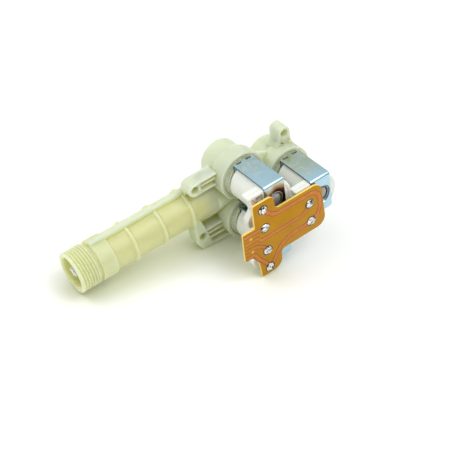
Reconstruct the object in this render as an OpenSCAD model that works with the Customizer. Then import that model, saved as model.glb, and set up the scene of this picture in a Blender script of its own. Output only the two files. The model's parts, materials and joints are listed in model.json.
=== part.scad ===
/* [Inlet tube] */
// Distance from the inlet mouth to the axis of the upper and lower valves
inlet_reach = 114.5; // [108:0.5:124]
// Outer radius of the inlet tube
tube_r = 12.1; // [11.8:0.1:12.6]
// Radius of the waterway in the tube
tube_bore_r = 9.3; // [8.6:0.1:9.6]
// Radius of the wider bore at the mouth, which takes the strainer
mouth_bore_r = 9.85; // [9.7:0.05:10.2]
// Length of the wider bore at the mouth
mouth_bore_len = 18; // [14:0.5:24]
// Major radius of the hose thread
thread_r = 13.22; // [12.9:0.02:13.4]
// Pitch of the hose thread
thread_pitch = 1.814; // [1.5:0.002:2]
// Height of the thread
thread_depth = 1.16; // [0.8:0.02:1.3]
// Number of thread turns
thread_turns = 7; // [5:1:8]
// Width of the relief groove behind the thread
groove_w = 2; // [1:0.1:3]
// Outer radius of the plain collar
collar_r = 13.2; // [12.8:0.1:13.6]
// Length of the plain collar
collar_len = 10.2; // [6:0.2:14]
// Distance from the mouth to the first ring rib
ring_first = 38.9; // [32:0.5:42]
// Distance between ring ribs
ring_pitch = 20.4; // [16:0.2:22]
// Radius of the round bead that makes a ring rib
ring_bead_r = 1.15; // [0.8:0.05:1.4]
// Width of the rib along the top of the tube
spine_w = 4.8; // [3:0.2:6]
// Height of that rib's crest over the tube axis
spine_top = 15; // [14:0.2:16]

/* [Valve chambers] */
// How far the upper and the lower chamber run into each other
chamber_merge = 0.4; // [0:0.1:1]
// Distance from the upper and lower valves to the side valve
side_offset = 33.3; // [33:0.1:36]
// How far a chamber stands out beyond the yoke's legs
chamber_over = 2.3; // [2:0.1:2.8]
// Wall of a chamber round its bonnet
rim_wall = 2.6; // [2:0.1:3]
// Depth of the chamber's front rim in front of the tube axis
chamber_front = 17.7; // [17:0.1:18.4]
// Depth of the chamber's back wall in front of the tube axis
chamber_back = 6.2; // [5.6:0.1:6.6]
// Outer radius of an outlet
outlet_r = 13.2; // [12.6:0.1:13.8]
// Distance that the outlets stand behind the tube axis
outlet_reach = 8.8; // [7:0.2:14]
// Radius of the outlet's socket
outlet_bore_r = 10.6; // [10:0.1:11]
// Depth of the outlet's socket
outlet_bore_depth = 10; // [8:0.2:11]
// Radius of the pocket behind the socket, for the flow washer
washer_pocket_r = 8.5; // [7.6:0.1:9]
// Radius of the passage through the valve seat
seat_bore_r = 4.6; // [4:0.1:5]
// Wall of the valve seat
seat_wall = 1.8; // [1.4:0.1:2.2]
// Width of the ledge that the diaphragm's bead lies on
ledge_w = 1.7; // [1.4:0.1:2.4]
// Floor under that ring of water
floor_t = 2; // [1.6:0.1:2.4]
// Radius of the duct that feeds the valves
duct_r = 3; // [2.4:0.1:3.2]

/* [Screw tabs] */
// Radius of a screw hole
tab_hole_r = 2.5; // [2:0.1:2.8]
// Radius of the boss round a screw hole
tab_boss_r = 4.5; // [4:0.1:5]
// Depth of the tabs' front faces in front of the tube axis
tab_front = 11.8; // [10.5:0.1:13]
// Thickness of the tabs from front to back
tab_depth = 9.8; // [8:0.2:11]
// Wall and rib thickness of the tabs
tab_wall = 1.4; // [1.2:0.1:2]
// Distance of the left tabs' holes before the valve axis
left_tab_x = 30.4; // [28:0.1:34]
// Height of the upper left hole over the tube axis
upper_tab_z = 18.9; // [18:0.1:21]
// Depth of the lower left hole below the tube axis
lower_tab_z = 18; // [17:0.1:20]
// Height of the side valve's hole over the tube axis
side_tab_z = 23.7; // [23:0.1:27]
// Distance of the side valve's hole beyond its axis
side_tab_x = 3.8; // [0:0.1:5]

/* [Coils] */
// How far a coil's round sides stand out beyond its flats
coil_over = 0.4; // [0.2:0.05:0.8]
// Depth of the coil's back face in front of the tube axis
coil_back = 20.95; // [20.6:0.05:21.6]
// Length of a coil
coil_len = 26.55; // [25:0.05:28]
// Width of the yoke strip
yoke_w = 14.4; // [13:0.1:15]
// Height over the yoke's two legs
yoke_h = 27.2; // [26.8:0.1:28]
// Thickness of the yoke strip and of the flux plate
yoke_t = 1.3; // [1:0.1:1.5]
// Outer radius of the yoke's bends
yoke_bend_r = 2; // [1.6:0.1:2.6]
// Radius of the yoke's hole
yoke_hole_r = 6.15; // [6:0.05:6.4]
// Width of a lug of the flux plate, which is staked in a notch of the yoke
lug_w = 3.6; // [3:0.1:4.2]
// Distance from the yoke's middle to a lug's middle
lug_x = 3.5; // [3:0.1:4]
// Clearance between a coil's winding and its terminal pins
terminal_gap = 1; // [0.6:0.05:1.4]
// Distance between a coil's two terminals
terminal_pitch = 13.7; // [13:0.1:14.4]
// Drop of the terminal pair's middle below the coil axis
terminal_drop = 3.75; // [3:0.05:4.4]
// Radius of a terminal pin
pin_r = 0.55; // [0.4:0.05:0.65]
// Reach of the terminal block to the left of the coil axis
block_reach = 18.6; // [18:0.1:19.4]
// Depth of the terminal block from back to front
block_depth = 6.4; // [5.6:0.1:7]
// Depth of the terminal block's front face in front of the tube axis
block_front = 48.7; // [48:0.1:49.6]

/* [Circuit board] */
// Depth of the board's front face in front of the tube axis
board_front = 53; // [52:0.1:54]
// Thickness of the board
board_t = 1.5; // [1:0.1:2]
// Thickness of the copper
copper_t = 0.1; // [0.05:0.01:0.2]
// Width of a track
track_w = 2.1; // [1.6:0.1:2.4]
// Width of the shared track
common_w = 2.6; // [2:0.1:3]
// Radius of a soldering pad
pad_r = 3.1; // [2.4:0.1:3.4]
// Radius of the two small holes in the board's tongue
tooling_r = 1.05; // [0.6:0.05:1.3]

/* [Mechanism] */
// Travel of a plunger
stroke = 2.6; // [2:0.1:2.8]
// Radius of a plunger
plunger_r = 3.95; // [3.8:0.05:4]
// Radial clearance of the plunger in its guide tube
plunger_gap = 0.15; // [0.1:0.01:0.2]
// Outer radius of the guide tube
guide_r = 5.2; // [5:0.05:5.3]
// Depth of the guide tube's domed end in front of the tube axis
guide_end = 48.4; // [48:0.1:48.6]
// Thickness of the diaphragm
rubber_t = 1; // [0.8:0.05:1.2]
// Radius of the diaphragm's stiff disc
disc_r = 7.8; // [7:0.1:8.2]
// Wire diameter of the plunger spring
wire_d = 0.5; // [0.3:0.05:0.6]
// Mean radius of the plunger spring
spring_r = 2.35; // [2:0.05:2.5]
// Number of turns of the plunger spring
spring_turns = 6; // [4:1:7]
// Clearance between pieces that only meet
gap = 0.05; // [0.02:0.01:0.08]

/* [Hidden] */
VALVES = ["upper", "lower", "side"];
PIECES = ["coil", "winding", "terminal_pins", "yoke", "flux_plate", "front_sleeve", "rear_sleeve",
    "bonnet", "plunger", "plunger_seal", "plunger_spring", "diaphragm", "diaphragm_disc",
    "flow_washer"];
$fn = 72;

// Radii that follow the yoke's height
coil_flat = yoke_h / 2 - yoke_t - 0.1;
coil_r = coil_flat + coil_over;
chamber_r = yoke_h / 2 + chamber_over;
rim_bore_r = chamber_r - rim_wall;
water_r = rim_bore_r - ledge_w;
valve_pitch = 2 * chamber_r - chamber_merge;

// Valve axes, in the order of VALVES
valve_x = [inlet_reach, inlet_reach, inlet_reach + side_offset];
valve_z = [valve_pitch / 2, -valve_pitch / 2, 0];

// Stations along the tube
thread_root_r = thread_r - thread_depth;
thread_lead = 0.1;
thread_end = thread_lead + thread_turns * thread_pitch;
groove_end = thread_end + groove_w;
collar_end = groove_end + collar_len;
tube_end = inlet_reach - 7.5;
tube_dome = 7;
bore_end = tube_end - tube_dome;
ring_x = [for (k = [0:2]) ring_first + k * ring_pitch];
duct_wall = 2.5;
duct_depth = tube_bore_r - 1.3;

// Depths in a valve, measured forwards from the tube axis
floor_d = chamber_back + floor_t;
ledge_d = chamber_front - 4;
seat_d = ledge_d - 1;
bead_t = rubber_t + 0.6;
bead_top = ledge_d + bead_t;
washer_t = 3;
washer_floor = chamber_back - 1;
rubber_top = seat_d + gap + rubber_t;
disc_back = rubber_top + 0.1;
disc_t = 1.25;
nozzle_top = disc_back + disc_t + 0.6;
seal_tip = nozzle_top + 0.1;
disc_lift = 0.7 * stroke;
recess_top = nozzle_top + disc_lift + 0.4;
flange_r = rim_bore_r - gap;
recess_r = disc_r + 1.7;
guide_bore_r = plunger_r + plunger_gap;
guide_wall_end = 1.9;
guide_inner_end = guide_end - guide_wall_end;
plunger_foot = seal_tip + 0.8;
plunger_top = guide_inner_end - stroke - 1;
spring_bore_depth = 8;

// Depths in a coil
coil_front = coil_back + coil_len;
yoke_front = coil_front + 0.15 + yoke_t;
plate_front = coil_back - 0.15;
plate_back = plate_front - yoke_t;
flange_top = plate_back - gap;
sleeve_bore_r = guide_r + 0.15;
sleeve_r = yoke_hole_r - gap;
sleeve_len = 11;
winding_in = yoke_hole_r + 1.2;
winding_out = coil_flat - 1.3;
coil_cheek = 2.4;
block_top = coil_flat;
block_bottom = terminal_drop + terminal_pitch / 2 + 3.4;
terminal_x = winding_out + terminal_gap + pin_r;
terminals = [[-terminal_x, terminal_pitch / 2 - terminal_drop],
    [-terminal_x, -terminal_pitch / 2 - terminal_drop]];
solder_h = 1.2;
pin_front = board_front + solder_h;
pin_back = block_front - 4;

// Soldering pads in X and Z, two for each valve
pads = [for (v = [0:2]) for (t = terminals) [valve_x[v] + t[0], valve_z[v] + t[1]]];

// Corners of an outline, each [x, y, radius], turned into points with the corners rounded
function unit(v) = v / norm(v);
function corner(a, b, c, r, n = 6) =
    let (u = unit([a[0] - b[0], a[1] - b[1]]), v = unit([c[0] - b[0], c[1] - b[1]]))
    let (half = acos(max(-1, min(1, u * v))) / 2, bis = unit(u + v))
    let (m = [b[0], b[1]] + bis * r / sin(half), p0 = [b[0], b[1]] + u * r / tan(half))
    let (start = p0 - m, turn = (u[0] * v[1] - u[1] * v[0] > 0 ? -1 : 1) * (180 - 2 * half))
    [for (k = [0:n]) let (a = turn * k / n)
        m + [start[0] * cos(a) - start[1] * sin(a), start[0] * sin(a) + start[1] * cos(a)]];
function rounded(p) = let (n = len(p)) [for (k = [0:n - 1])
    each p[k][2] > 0 ? corner(p[(k + n - 1) % n], p[k], p[(k + 1) % n], p[k][2]) : [[p[k][0], p[k][1]]]];

// Open path with its inner corners rounded, and the outline of a strip along it
function eased(p, r) = let (n = len(p))
    concat([p[0]], [for (k = [1:n - 2]) each corner(p[k - 1], p[k], p[k + 1], r, 4)], [p[n - 1]]);
function normal(a, b) = let (t = unit(b - a)) [-t[1], t[0]];
function beside(p, d) = let (n = len(p)) [for (k = [0:n - 1])
    let (before = normal(p[max(k - 1, 0)], p[max(k, 1)]),
        after = normal(p[min(k, n - 2)], p[min(k + 1, n - 1)]), m = unit(before + after))
    p[k] + m * d / (m * before)];
function strip(p, width) = let (right = beside(p, -width / 2), n = len(p))
    concat(beside(p, width / 2), [for (k = [n - 1:-1:0]) right[k]]);

// Places a piece on valve v: its z runs forwards from the tube axis, its y is up
module at_valve(v) {
    translate([valve_x[v], 0, valve_z[v]])
        rotate([90, 0, 0])
            children();
}

// Extrudes an outline drawn in X and Z from one depth to another
module slab(from, to) {
    translate([0, -from, 0])
        rotate([90, 0, 0])
            linear_extrude(to - from)
                children();
}

// Cylinder along z between two depths
module rod(r, from, to) {
    translate([0, 0, from])
        cylinder(r = r, h = to - from);
}

// Outer form of the inlet tube, with its thread, collar and ring ribs
module tube_form() {
    crest = thread_pitch / 6;
    flank = thread_pitch / 3;
    turns = [for (k = [0:thread_turns - 1]) let (x = thread_lead + k * thread_pitch) each [
        [thread_root_r, x + crest / 2], [thread_r, x + crest / 2 + flank],
        [thread_r, x + crest * 1.5 + flank], [thread_root_r, x + crest * 1.5 + 2 * flank]]];
    dome = [for (a = [0:15:90]) [tube_r - tube_dome * (1 - cos(a)), tube_end - tube_dome * (1 - sin(a))]];
    rotate([0, 90, 0])
        rotate_extrude()
            polygon(concat([[0, 0], [thread_root_r, 0]], turns, [[thread_root_r, groove_end],
                [collar_r, groove_end], [collar_r, collar_end], [tube_r, collar_end]], dome, [[0, tube_end]]));
    for (x = ring_x)
        translate([x, 0, 0])
            rotate([0, 90, 0])
                rotate_extrude()
                    translate([tube_r, 0])
                        circle(r = ring_bead_r, $fn = 32);
}

// Rib along the top of the tube, with its upper edges chamfered
module spine() {
    half = spine_w / 2;
    edge = 1;
    translate([groove_end, 0, 0])
        rotate([90, 0, 90])
            linear_extrude(ring_x[2] + ring_bead_r - groove_end)
                polygon([[-half, 0], [half, 0], [half, spine_top - edge], [half - edge, spine_top],
                    [edge - half, spine_top], [-half, spine_top - edge]]);
}

// Outer form of a chamber with its outlet
module chamber_form() {
    lead = 1;
    rod(chamber_r, chamber_back + lead, chamber_front);
    translate([0, 0, chamber_back])
        cylinder(r1 = chamber_r - lead, r2 = chamber_r, h = lead);
    rod(outlet_r, -outlet_reach, chamber_back + lead);
}

// Space in a chamber: outlet socket, washer pocket, seat passage, water ring and counterbore
module chamber_space() {
    over = 1;
    rod(outlet_bore_r, -outlet_reach - over, outlet_bore_depth - outlet_reach);
    rod(washer_pocket_r, -outlet_reach, washer_floor);
    rod(seat_bore_r, 0, seat_d + over);
    difference() {
        rod(water_r, floor_d, ledge_d + gap);
        rod(seat_bore_r + seat_wall, floor_d - over, seat_d);
    }
    rod(rim_bore_r, ledge_d, chamber_front + over);
}

// Duct along X that feeds the water rings, and the short one across it
module duct(r, from, to) {
    translate([from, -duct_depth, 0])
        rotate([0, 90, 0])
            cylinder(r = r, h = to - from);
}

// Outline in X and Z of the plate that ties the three chambers together
module tie_outline() {
    polygon([[valve_x[0] - chamber_r / 2, valve_z[0]], [valve_x[0] + 2, valve_z[0] + 9],
        [valve_x[2], 11], [valve_x[2], -11], [valve_x[0] + 2, valve_z[1] - 9],
        [valve_x[0] - chamber_r / 2, valve_z[1]]]);
}

// Screw tab with a round boss and ribs that reach across to the upper chamber
module upper_left_tab() {
    back = tab_front - tab_depth;
    x0 = inlet_reach - left_tab_x;
    x1 = inlet_reach - outlet_r + 1.5;
    top = upper_tab_z + tab_boss_r;
    foot = upper_tab_z - tab_boss_r;
    plate_end = inlet_reach - chamber_r + 1.7;
    slab(back, tab_front) {
        translate([x0, upper_tab_z])
            circle(r = tab_boss_r);
        translate([x0, foot])
            square([tab_boss_r - 0.8, 2 * tab_boss_r]);
        translate([x0, top - tab_wall])
            square([plate_end - x0, tab_wall]);
        translate([x0, upper_tab_z - tab_wall / 2 + 0.5])
            square([x1 - x0, tab_wall]);
        translate([x0, foot])
            square([x1 - x0, tab_wall]);
    }
    slab(back, back + tab_wall)
        polygon([[x0, top - tab_wall], [plate_end, top - tab_wall], [x1, upper_tab_z],
            [x1, tube_r - 5], [x0 - tab_boss_r + 1, tube_r - 5], [x0 - tab_boss_r + 1, upper_tab_z]]);
}

// Screw tab under the tube: a leg with a slanting side, and ribs and a foot that reach the lower chamber
module lower_left_tab() {
    back = tab_front - tab_depth;
    x0 = inlet_reach - left_tab_x;
    x1 = inlet_reach - outlet_r + 1.5;
    foot = -lower_tab_z - 9.7;
    slant = 0.28;
    right = x0 + tab_hole_r + 1.2;
    left = x0 - tab_boss_r - 0.3;
    root = -tube_r / 4;
    corner_x = 3.4;
    corner_z = 5.6;
    slab(back, tab_front) {
        polygon(rounded([[left, root, 0], [left, foot + corner_z, 2], [left + corner_x, foot, 1.5],
            [right - slant * (lower_tab_z + foot), foot, 0.5],
            [right - slant * (lower_tab_z + root), root, 0]]));
        translate([x0, foot])
            square([inlet_reach - chamber_r + 4.6 - x0, tab_wall]);
        for (z = [3, -0.2, -4.2])
            translate([x0 + tab_boss_r - 2, z - lower_tab_z - tab_wall / 2])
                square([x1 - x0 - tab_boss_r + 2, tab_wall]);
    }
    slab(back, back + tab_wall)
        polygon([[left, root], [left, foot + corner_z], [left + corner_x, foot],
            [inlet_reach - chamber_r + 4.6, foot], [inlet_reach - chamber_r + 4.6, root]]);
}

// Screw tab that stands on the side chamber, with two small cored corners below its hole
module side_tab() {
    back = tab_front - tab_depth;
    x0 = valve_x[2] + side_tab_x;
    core_z = side_tab_z - tab_boss_r - 0.3;
    core = 2.6;
    difference() {
        slab(back, tab_front) {
            translate([x0, side_tab_z])
                circle(r = tab_boss_r);
            translate([x0 - tab_boss_r, outlet_r - 5])
                square([2 * tab_boss_r, side_tab_z - outlet_r + 5]);
        }
        for (s = [-1, 1])
            slab(back + tab_wall, tab_front + 1)
                polygon([[x0 + s * 0.6, core_z - core], [x0 + s * (core + 1), core_z - core],
                    [x0 + s * (core + 1), core_z]]);
    }
}

// Bore for a screw from the front face of a tab
module tab_hole(x, z, depth) {
    over = 3;
    translate([x, -tab_front - over, z])
        rotate([-90, 0, 0])
            cylinder(r = tab_hole_r, h = depth + over);
}

// Nylon moulding: tube, chambers, outlets and screw tabs in one piece
module valve_body() {
    cross_r = 0.6 * duct_r;
    cross_len = valve_pitch - 2 * (seat_bore_r + seat_wall + 1);
    color("#D9E0B4")
        difference() {
            union() {
                tube_form();
                spine();
                for (v = [0:2])
                    at_valve(v)
                        chamber_form();
                duct(duct_r + duct_wall, bore_end - 2, valve_x[2] - chamber_r + 3);
                slab(chamber_back, floor_d)
                    tie_outline();
                upper_left_tab();
                lower_left_tab();
                side_tab();
            }
            translate([-1, 0, 0])
                rotate([0, 90, 0])
                    cylinder(r = mouth_bore_r, h = mouth_bore_len + 1);
            rotate([0, 90, 0])
                cylinder(r = tube_bore_r, h = bore_end);
            duct(duct_r, bore_end - 3, valve_x[2] - water_r + 1.5);
            translate([inlet_reach, -(floor_d + ledge_d) / 2, -cross_len / 2])
                cylinder(r = cross_r, h = cross_len);
            for (v = [0:2])
                at_valve(v)
                    chamber_space();
            tab_hole(inlet_reach - left_tab_x, upper_tab_z, tab_depth + 4);
            tab_hole(inlet_reach - left_tab_x, -lower_tab_z, tab_depth + 4);
            tab_hole(valve_x[2] + side_tab_x, side_tab_z, tab_depth + 4);
        }
}

// Strainer basket in the inlet, with slots and a pull tab
module inlet_strainer() {
    flange_t = 1.5;
    wall = 0.9;
    base_r = tube_bore_r - 0.7;
    tip_r = 5;
    basket = 20;
    slots = 8;
    slot_w = 1.6;
    slot_end = 3;
    grip_w = 7.4;
    grip_h = 4.6;
    grip_t = 1.3;
    grip_start = 1.2;
    x = mouth_bore_len;
    color("#F2F3EE")
        rotate([0, 90, 0]) {
            difference() {
                rotate_extrude()
                    polygon([[base_r - wall, x - flange_t], [mouth_bore_r - 0.15, x - flange_t],
                        [mouth_bore_r - 0.15, x], [base_r, x], [tip_r, x + basket], [0, x + basket],
                        [0, x + basket - wall], [tip_r - wall, x + basket - wall], [base_r - wall, x]]);
                for (k = [0:slots - 1])
                    rotate(360 * (k + 0.5) / slots)
                        translate([tip_r - 2, -slot_w / 2, x + slot_end])
                            cube([base_r, slot_w, basket - 2 * slot_end]);
            }
            translate([-grip_t / 2, -base_r + wall / 2, x - flange_t])
                cube([grip_t, 2 * base_r - wall, flange_t]);
            translate([-grip_t / 2, -grip_w / 2, grip_start])
                cube([grip_t, grip_w, x - flange_t - grip_start + gap]);
            translate([-grip_h / 2, -grip_t / 2, grip_start])
                cube([grip_h, grip_t, x - flange_t - grip_start + gap]);
        }
}

// White moulded bobbin cover with its terminal block
module coil() {
    cheek = 0.8;
    side = yoke_w / 2 + 0.2;
    outline = rounded([[0, block_top, 0], [-block_reach, block_top, 0.5],
        [-block_reach, block_top - 1.6, 0.4], [1.6 - block_reach, block_top - 2.4, 0.5],
        [2.4 - block_reach, block_top - 9.4, 2], [3 - block_reach, block_top - 12.4, 0.8],
        [-block_reach - 1.2, block_top - 17.6, 2.4], [-block_reach - 1.2, block_top - 22.6, 1.4],
        [2.6 - block_reach, block_top - 23.2, 0.6], [3 - block_reach, -block_bottom, 0.8],
        [-side, -block_bottom, 0.8], [-side, -coil_r + 2, 0],
        [0, -coil_r + 2, 0]]);
    color("#F0F0EC")
        difference() {
            union() {
                intersection() {
                    union() {
                        rod(coil_r, coil_back + cheek, coil_front - cheek);
                        translate([0, 0, coil_back])
                            cylinder(r1 = coil_r - cheek, r2 = coil_r, h = cheek);
                        translate([0, 0, coil_front - cheek])
                            cylinder(r1 = coil_r, r2 = coil_r - cheek, h = cheek);
                    }
                    translate([-coil_r, -coil_flat, coil_back])
                        cube([2 * coil_r, 2 * coil_flat, coil_len]);
                }
                intersection() {
                    translate([0, 0, block_front - block_depth])
                        linear_extrude(block_depth)
                            polygon(outline);
                    union() {
                        translate([-30, -30, 0])
                            cube([60, 60, coil_front - cheek]);
                        translate([-30 - side, -30, 0])
                            cube([30, 60, block_front]);
                    }
                }
            }
            rod(yoke_hole_r + gap, coil_back - 1, coil_back + sleeve_len);
            rod(guide_r + 0.25, coil_back, coil_front);
            rod(yoke_hole_r + gap, coil_front - sleeve_len, coil_front + 1);
            difference() {
                rod(winding_out + gap, coil_back + coil_cheek - gap, coil_front - coil_cheek + gap);
                rod(winding_in - gap, coil_back, coil_front);
            }
            for (t = terminals)
                translate([t[0], t[1], pin_back - gap])
                    cylinder(r = pin_r + gap, h = 10, $fn = 24);
            terminal_pockets(side);
        }
}

// Open pockets in the front of the terminal block, above and between the pins
module terminal_pockets(side) {
    depth = 4.2;
    lip = 1.9;
    right = -side - 0.9;
    left = -terminal_x - 1.1;
    step = 1.6;
    for (y = [[terminals[0][1] + 1.8, block_top - lip], [terminals[1][1] + 1.8, terminals[0][1] - 1.8]])
        translate([left, y[0], block_front - depth])
            cube([right - left, y[1] - y[0], depth + 1]);
    translate([-block_reach - 2, terminals[1][1] - 3, block_front - step])
        cube([block_reach + 2 - terminal_x - 4.2, block_top - lip - terminals[1][1] + 3, step + 1]);
}

// Copper winding inside the bobbin
module winding() {
    color("#B5703A")
        difference() {
            rod(winding_out, coil_back + coil_cheek, coil_front - coil_cheek);
            rod(winding_in, coil_back, coil_front);
        }
}

// Two tinned pins that carry the coil's current to the board
module terminal_pins() {
    color("#C9CCCB")
        for (t = terminals)
            translate([t[0], t[1], 0])
                rod(pin_r, pin_back, pin_front, $fn = 24);
}

// Zinc-plated steel strip folded round the coil, with two notches in the end of each leg
module yoke() {
    half = yoke_h / 2;
    inner_r = yoke_bend_r - yoke_t;
    section = rounded([[-plate_back, half, 0], [-yoke_front, half, yoke_bend_r],
        [-yoke_front, -half, yoke_bend_r], [-plate_back, -half, 0], [-plate_back, yoke_t - half, 0],
        [yoke_t - yoke_front, yoke_t - half, inner_r], [yoke_t - yoke_front, half - yoke_t, inner_r],
        [-plate_back, half - yoke_t, 0]]);
    cut_x = 2;
    cut_y = 2.8;
    notch = yoke_t + 0.2;
    color("#A9C0C9")
        difference() {
            translate([-yoke_w / 2, 0, 0])
                rotate([0, 90, 0])
                    linear_extrude(yoke_w)
                        polygon(section);
            for (sy = [-1, 1])
                for (sx = [-1, 1])
                    translate([sx * lug_x - lug_w / 2 - gap, sy > 0 ? half - yoke_t - 0.5 : -half - 1, plate_back - 1])
                        cube([lug_w + 2 * gap, yoke_t + 1.5, notch + 1]);
            rod(yoke_hole_r, yoke_front - 2 * yoke_t, yoke_front + 1);
            for (s = [-1, 1])
                translate([0, 0, yoke_front - yoke_bend_r])
                    linear_extrude(yoke_bend_r + 1)
                        polygon([[s * (yoke_w / 2 + 1), -half - 1], [s * (yoke_w / 2 - cut_x), -half - 1],
                            [s * (yoke_w / 2 - cut_x), -half], [s * yoke_w / 2, cut_y - half],
                            [s * (yoke_w / 2 + 1), cut_y - half]]);
        }
}

// Steel plate between the ends of the yoke's legs, with a lug in each of their notches
module flux_plate() {
    inner = yoke_h / 2 - yoke_t - gap;
    lug = yoke_h / 2 - 0.3;
    color("#A9C0C9")
        difference() {
            union() {
                translate([-yoke_w / 2, -inner, plate_back])
                    cube([yoke_w, 2 * inner, yoke_t - gap]);
                for (s = [-1, 1])
                    translate([s * lug_x - lug_w / 2, -lug, plate_back])
                        cube([lug_w, 2 * lug, yoke_t - gap]);
            }
            rod(yoke_hole_r, plate_back - 1, plate_front + 1);
        }
}

// Rolled steel sleeve that carries the flux from the yoke to the plunger
module front_sleeve() {
    color("#8F9698")
        difference() {
            rod(sleeve_r, coil_front - sleeve_len + gap, yoke_front - 0.3);
            rod(sleeve_bore_r, coil_back, yoke_front + 1);
        }
}

// The same sleeve at the flux plate
module rear_sleeve() {
    color("#8F9698")
        difference() {
            rod(sleeve_r, plate_back, coil_back + sleeve_len - gap);
            rod(sleeve_bore_r, plate_back - 1, coil_front);
        }
}

// Plastic bonnet: flange that clamps the diaphragm, and guide tube for the plunger
module bonnet() {
    dome_r = 2;
    shoulder_r = rim_bore_r - 1.6;
    dome = [for (a = [0:15:90]) [guide_r - dome_r * (1 - cos(a)), guide_end - dome_r * (1 - sin(a))]];
    color("#A9AFA0")
        rotate_extrude()
            polygon(concat([[recess_r, bead_top], [flange_r, bead_top], [flange_r, bead_top + 2.2],
                [shoulder_r, bead_top + 2.2], [shoulder_r, flange_top - 0.8], [shoulder_r - 0.8, flange_top],
                [guide_r, flange_top]], dome, [[0, guide_end], [0, guide_inner_end],
                [guide_bore_r, guide_inner_end], [guide_bore_r, recess_top], [recess_r, recess_top]]));
}

// Steel plunger with two flutes, a spring bore in front and a seal seat behind
module plunger() {
    flute_r = 0.6;
    color("#B9BDBF")
        difference() {
            rod(plunger_r, plunger_foot, plunger_top);
            rod(spring_r + wire_d / 2 + 0.3, plunger_top - spring_bore_depth, plunger_top + 1);
            rod(plunger_r - 1.3, plunger_foot - 1, plunger_foot + 2.4);
            for (s = [-1, 1])
                translate([s * plunger_r, 0, 0])
                    rod(flute_r, plunger_foot - 1, plunger_top + 1, $fn = 24);
        }
}

// Rubber tip that closes the pilot hole
module plunger_seal() {
    r = plunger_r - 1.3 - gap;
    color("#2B2B2B")
        rotate_extrude()
            polygon([[0, seal_tip], [r - 0.6, seal_tip], [r, seal_tip + 0.6], [r, plunger_foot + 2.4 - gap],
                [0, plunger_foot + 2.4 - gap]]);
}

// Compression spring between the plunger and the end of its guide tube
module plunger_spring() {
    sides = 6;
    steps = 14;
    wire_r = wire_d / 2;
    low = plunger_top - spring_bore_depth + wire_r + gap;
    high = guide_inner_end - wire_r - gap;
    n = (spring_turns + 2) * steps;
    // Height of the wire at station k: one flat turn at each end
    function rise(k) = let (t = k / steps)
        t < 1 ? t * wire_d : t > spring_turns + 1
        ? high - low - (spring_turns + 2 - t) * wire_d
        : wire_d + (t - 1) / spring_turns * (high - low - 2 * wire_d);
    rings = [for (k = [0:n]) let (a = 360 * k / steps) [for (j = [0:sides - 1])
        let (b = 360 * j / sides, r = spring_r + wire_r * cos(b))
        [r * cos(a), r * sin(a), low + rise(k) + wire_r * sin(b)]]];
    points = [for (r = rings) each r];
    faces = concat([[for (j = [0:sides - 1]) j]],
        [for (k = [0:n - 1]) for (j = [0:sides - 1]) let (m = (j + 1) % sides)
            [k * sides + j, (k + 1) * sides + j, (k + 1) * sides + m, k * sides + m]],
        [[for (j = [sides - 1:-1:0]) n * sides + j]]);
    color("#9FA3A5")
        polyhedron(points, faces);
}

// Rubber diaphragm: clamped bead, thin folded web and a middle that lies on the seat
module diaphragm() {
    hole_r = 2.4;
    web = 0.7;
    fold = 1.2;
    low = seat_d + gap;
    bead_in = water_r - 0.1;
    fold_mid = (disc_r + water_r) / 2 - 0.2;
    fold_half = (water_r - disc_r) / 6;
    fold_in = fold_mid - fold_half;
    fold_out = fold_mid + fold_half;
    rim = flange_r;
    bleed_r = 0.5;
    color("#33312F")
        difference() {
            rotate_extrude()
                polygon([[hole_r, low], [seat_bore_r + seat_wall + 1.2, low], [fold_in, low - fold + web],
                    [fold_out, low - fold + web], [bead_in, ledge_d], [rim, ledge_d], [rim, bead_top],
                    [bead_in, bead_top], [bead_in - 0.4, ledge_d + web], [fold_out, low - fold + 2 * web],
                    [fold_in, low - fold + 2 * web], [disc_r, low + rubber_t], [hole_r, low + rubber_t]]);
            translate([disc_r - 0.9, 0, low - 3])
                cylinder(r = bleed_r, h = 6, $fn = 24);
        }
}

// Stiff disc on the diaphragm, with the pilot hole, the bleed hole and a finned guide in the seat
module diaphragm_disc() {
    neck_r = 2.3;
    fin_r = seat_bore_r - 0.3;
    fin_t = 1;
    fin_top = seat_d - 0.1;
    fin_back = fin_top - 4.5;
    pilot_r = 0.6;
    bleed_r = 0.4;
    nozzle_r = 1.4;
    color("#E4E2D6")
        difference() {
            union() {
                rod(disc_r, disc_back, disc_back + disc_t);
                rod(nozzle_r, disc_back, nozzle_top);
                rod(neck_r, fin_back, disc_back);
                for (a = [0, 90])
                    rotate(a)
                        translate([-fin_r, -fin_t / 2, fin_back])
                            cube([2 * fin_r, fin_t, fin_top - fin_back]);
            }
            rod(pilot_r, fin_back - 1, nozzle_top + 1, $fn = 24);
            translate([disc_r - 0.9, 0, 0])
                rod(bleed_r, disc_back - 1, disc_back + disc_t + 1, $fn = 24);
        }
}

// Rubber washer in the outlet that steadies the flow
module flow_washer() {
    r = washer_pocket_r - 0.1;
    hole_r = 1.7;
    mouth_r = 3.6;
    color("#3A3A38")
        rotate_extrude()
            polygon([[hole_r, washer_floor - washer_t], [r, washer_floor - washer_t], [r, washer_floor],
                [mouth_r, washer_floor], [hole_r, washer_floor - 1.2]]);
}

// Outline of the circuit board in X from the valve axis and Z
top = valve_z[0];
low = valve_z[1];
far = side_offset;
board_corners = [[-19.1, top + 9.3, 1.5], [-4.1, top + 9.3, 4], [-3.6, top - 1.3, 3], [far - 2.9, 14.3, 6.5],
    [far - 1.6, -18.3, 6.5], [-2.6, low - 2.6, 3], [-3.5, low - 15.1, 6.5], [-18.5, low - 15.1, 1.2],
    [-19.4, low - 2.9, 1.5], [-23.8, -12, 1.5], [-28.9, -11.6, 0.6], [-28.4, 8.6, 0.6], [-19.4, 8.5, 0.8]];

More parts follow.
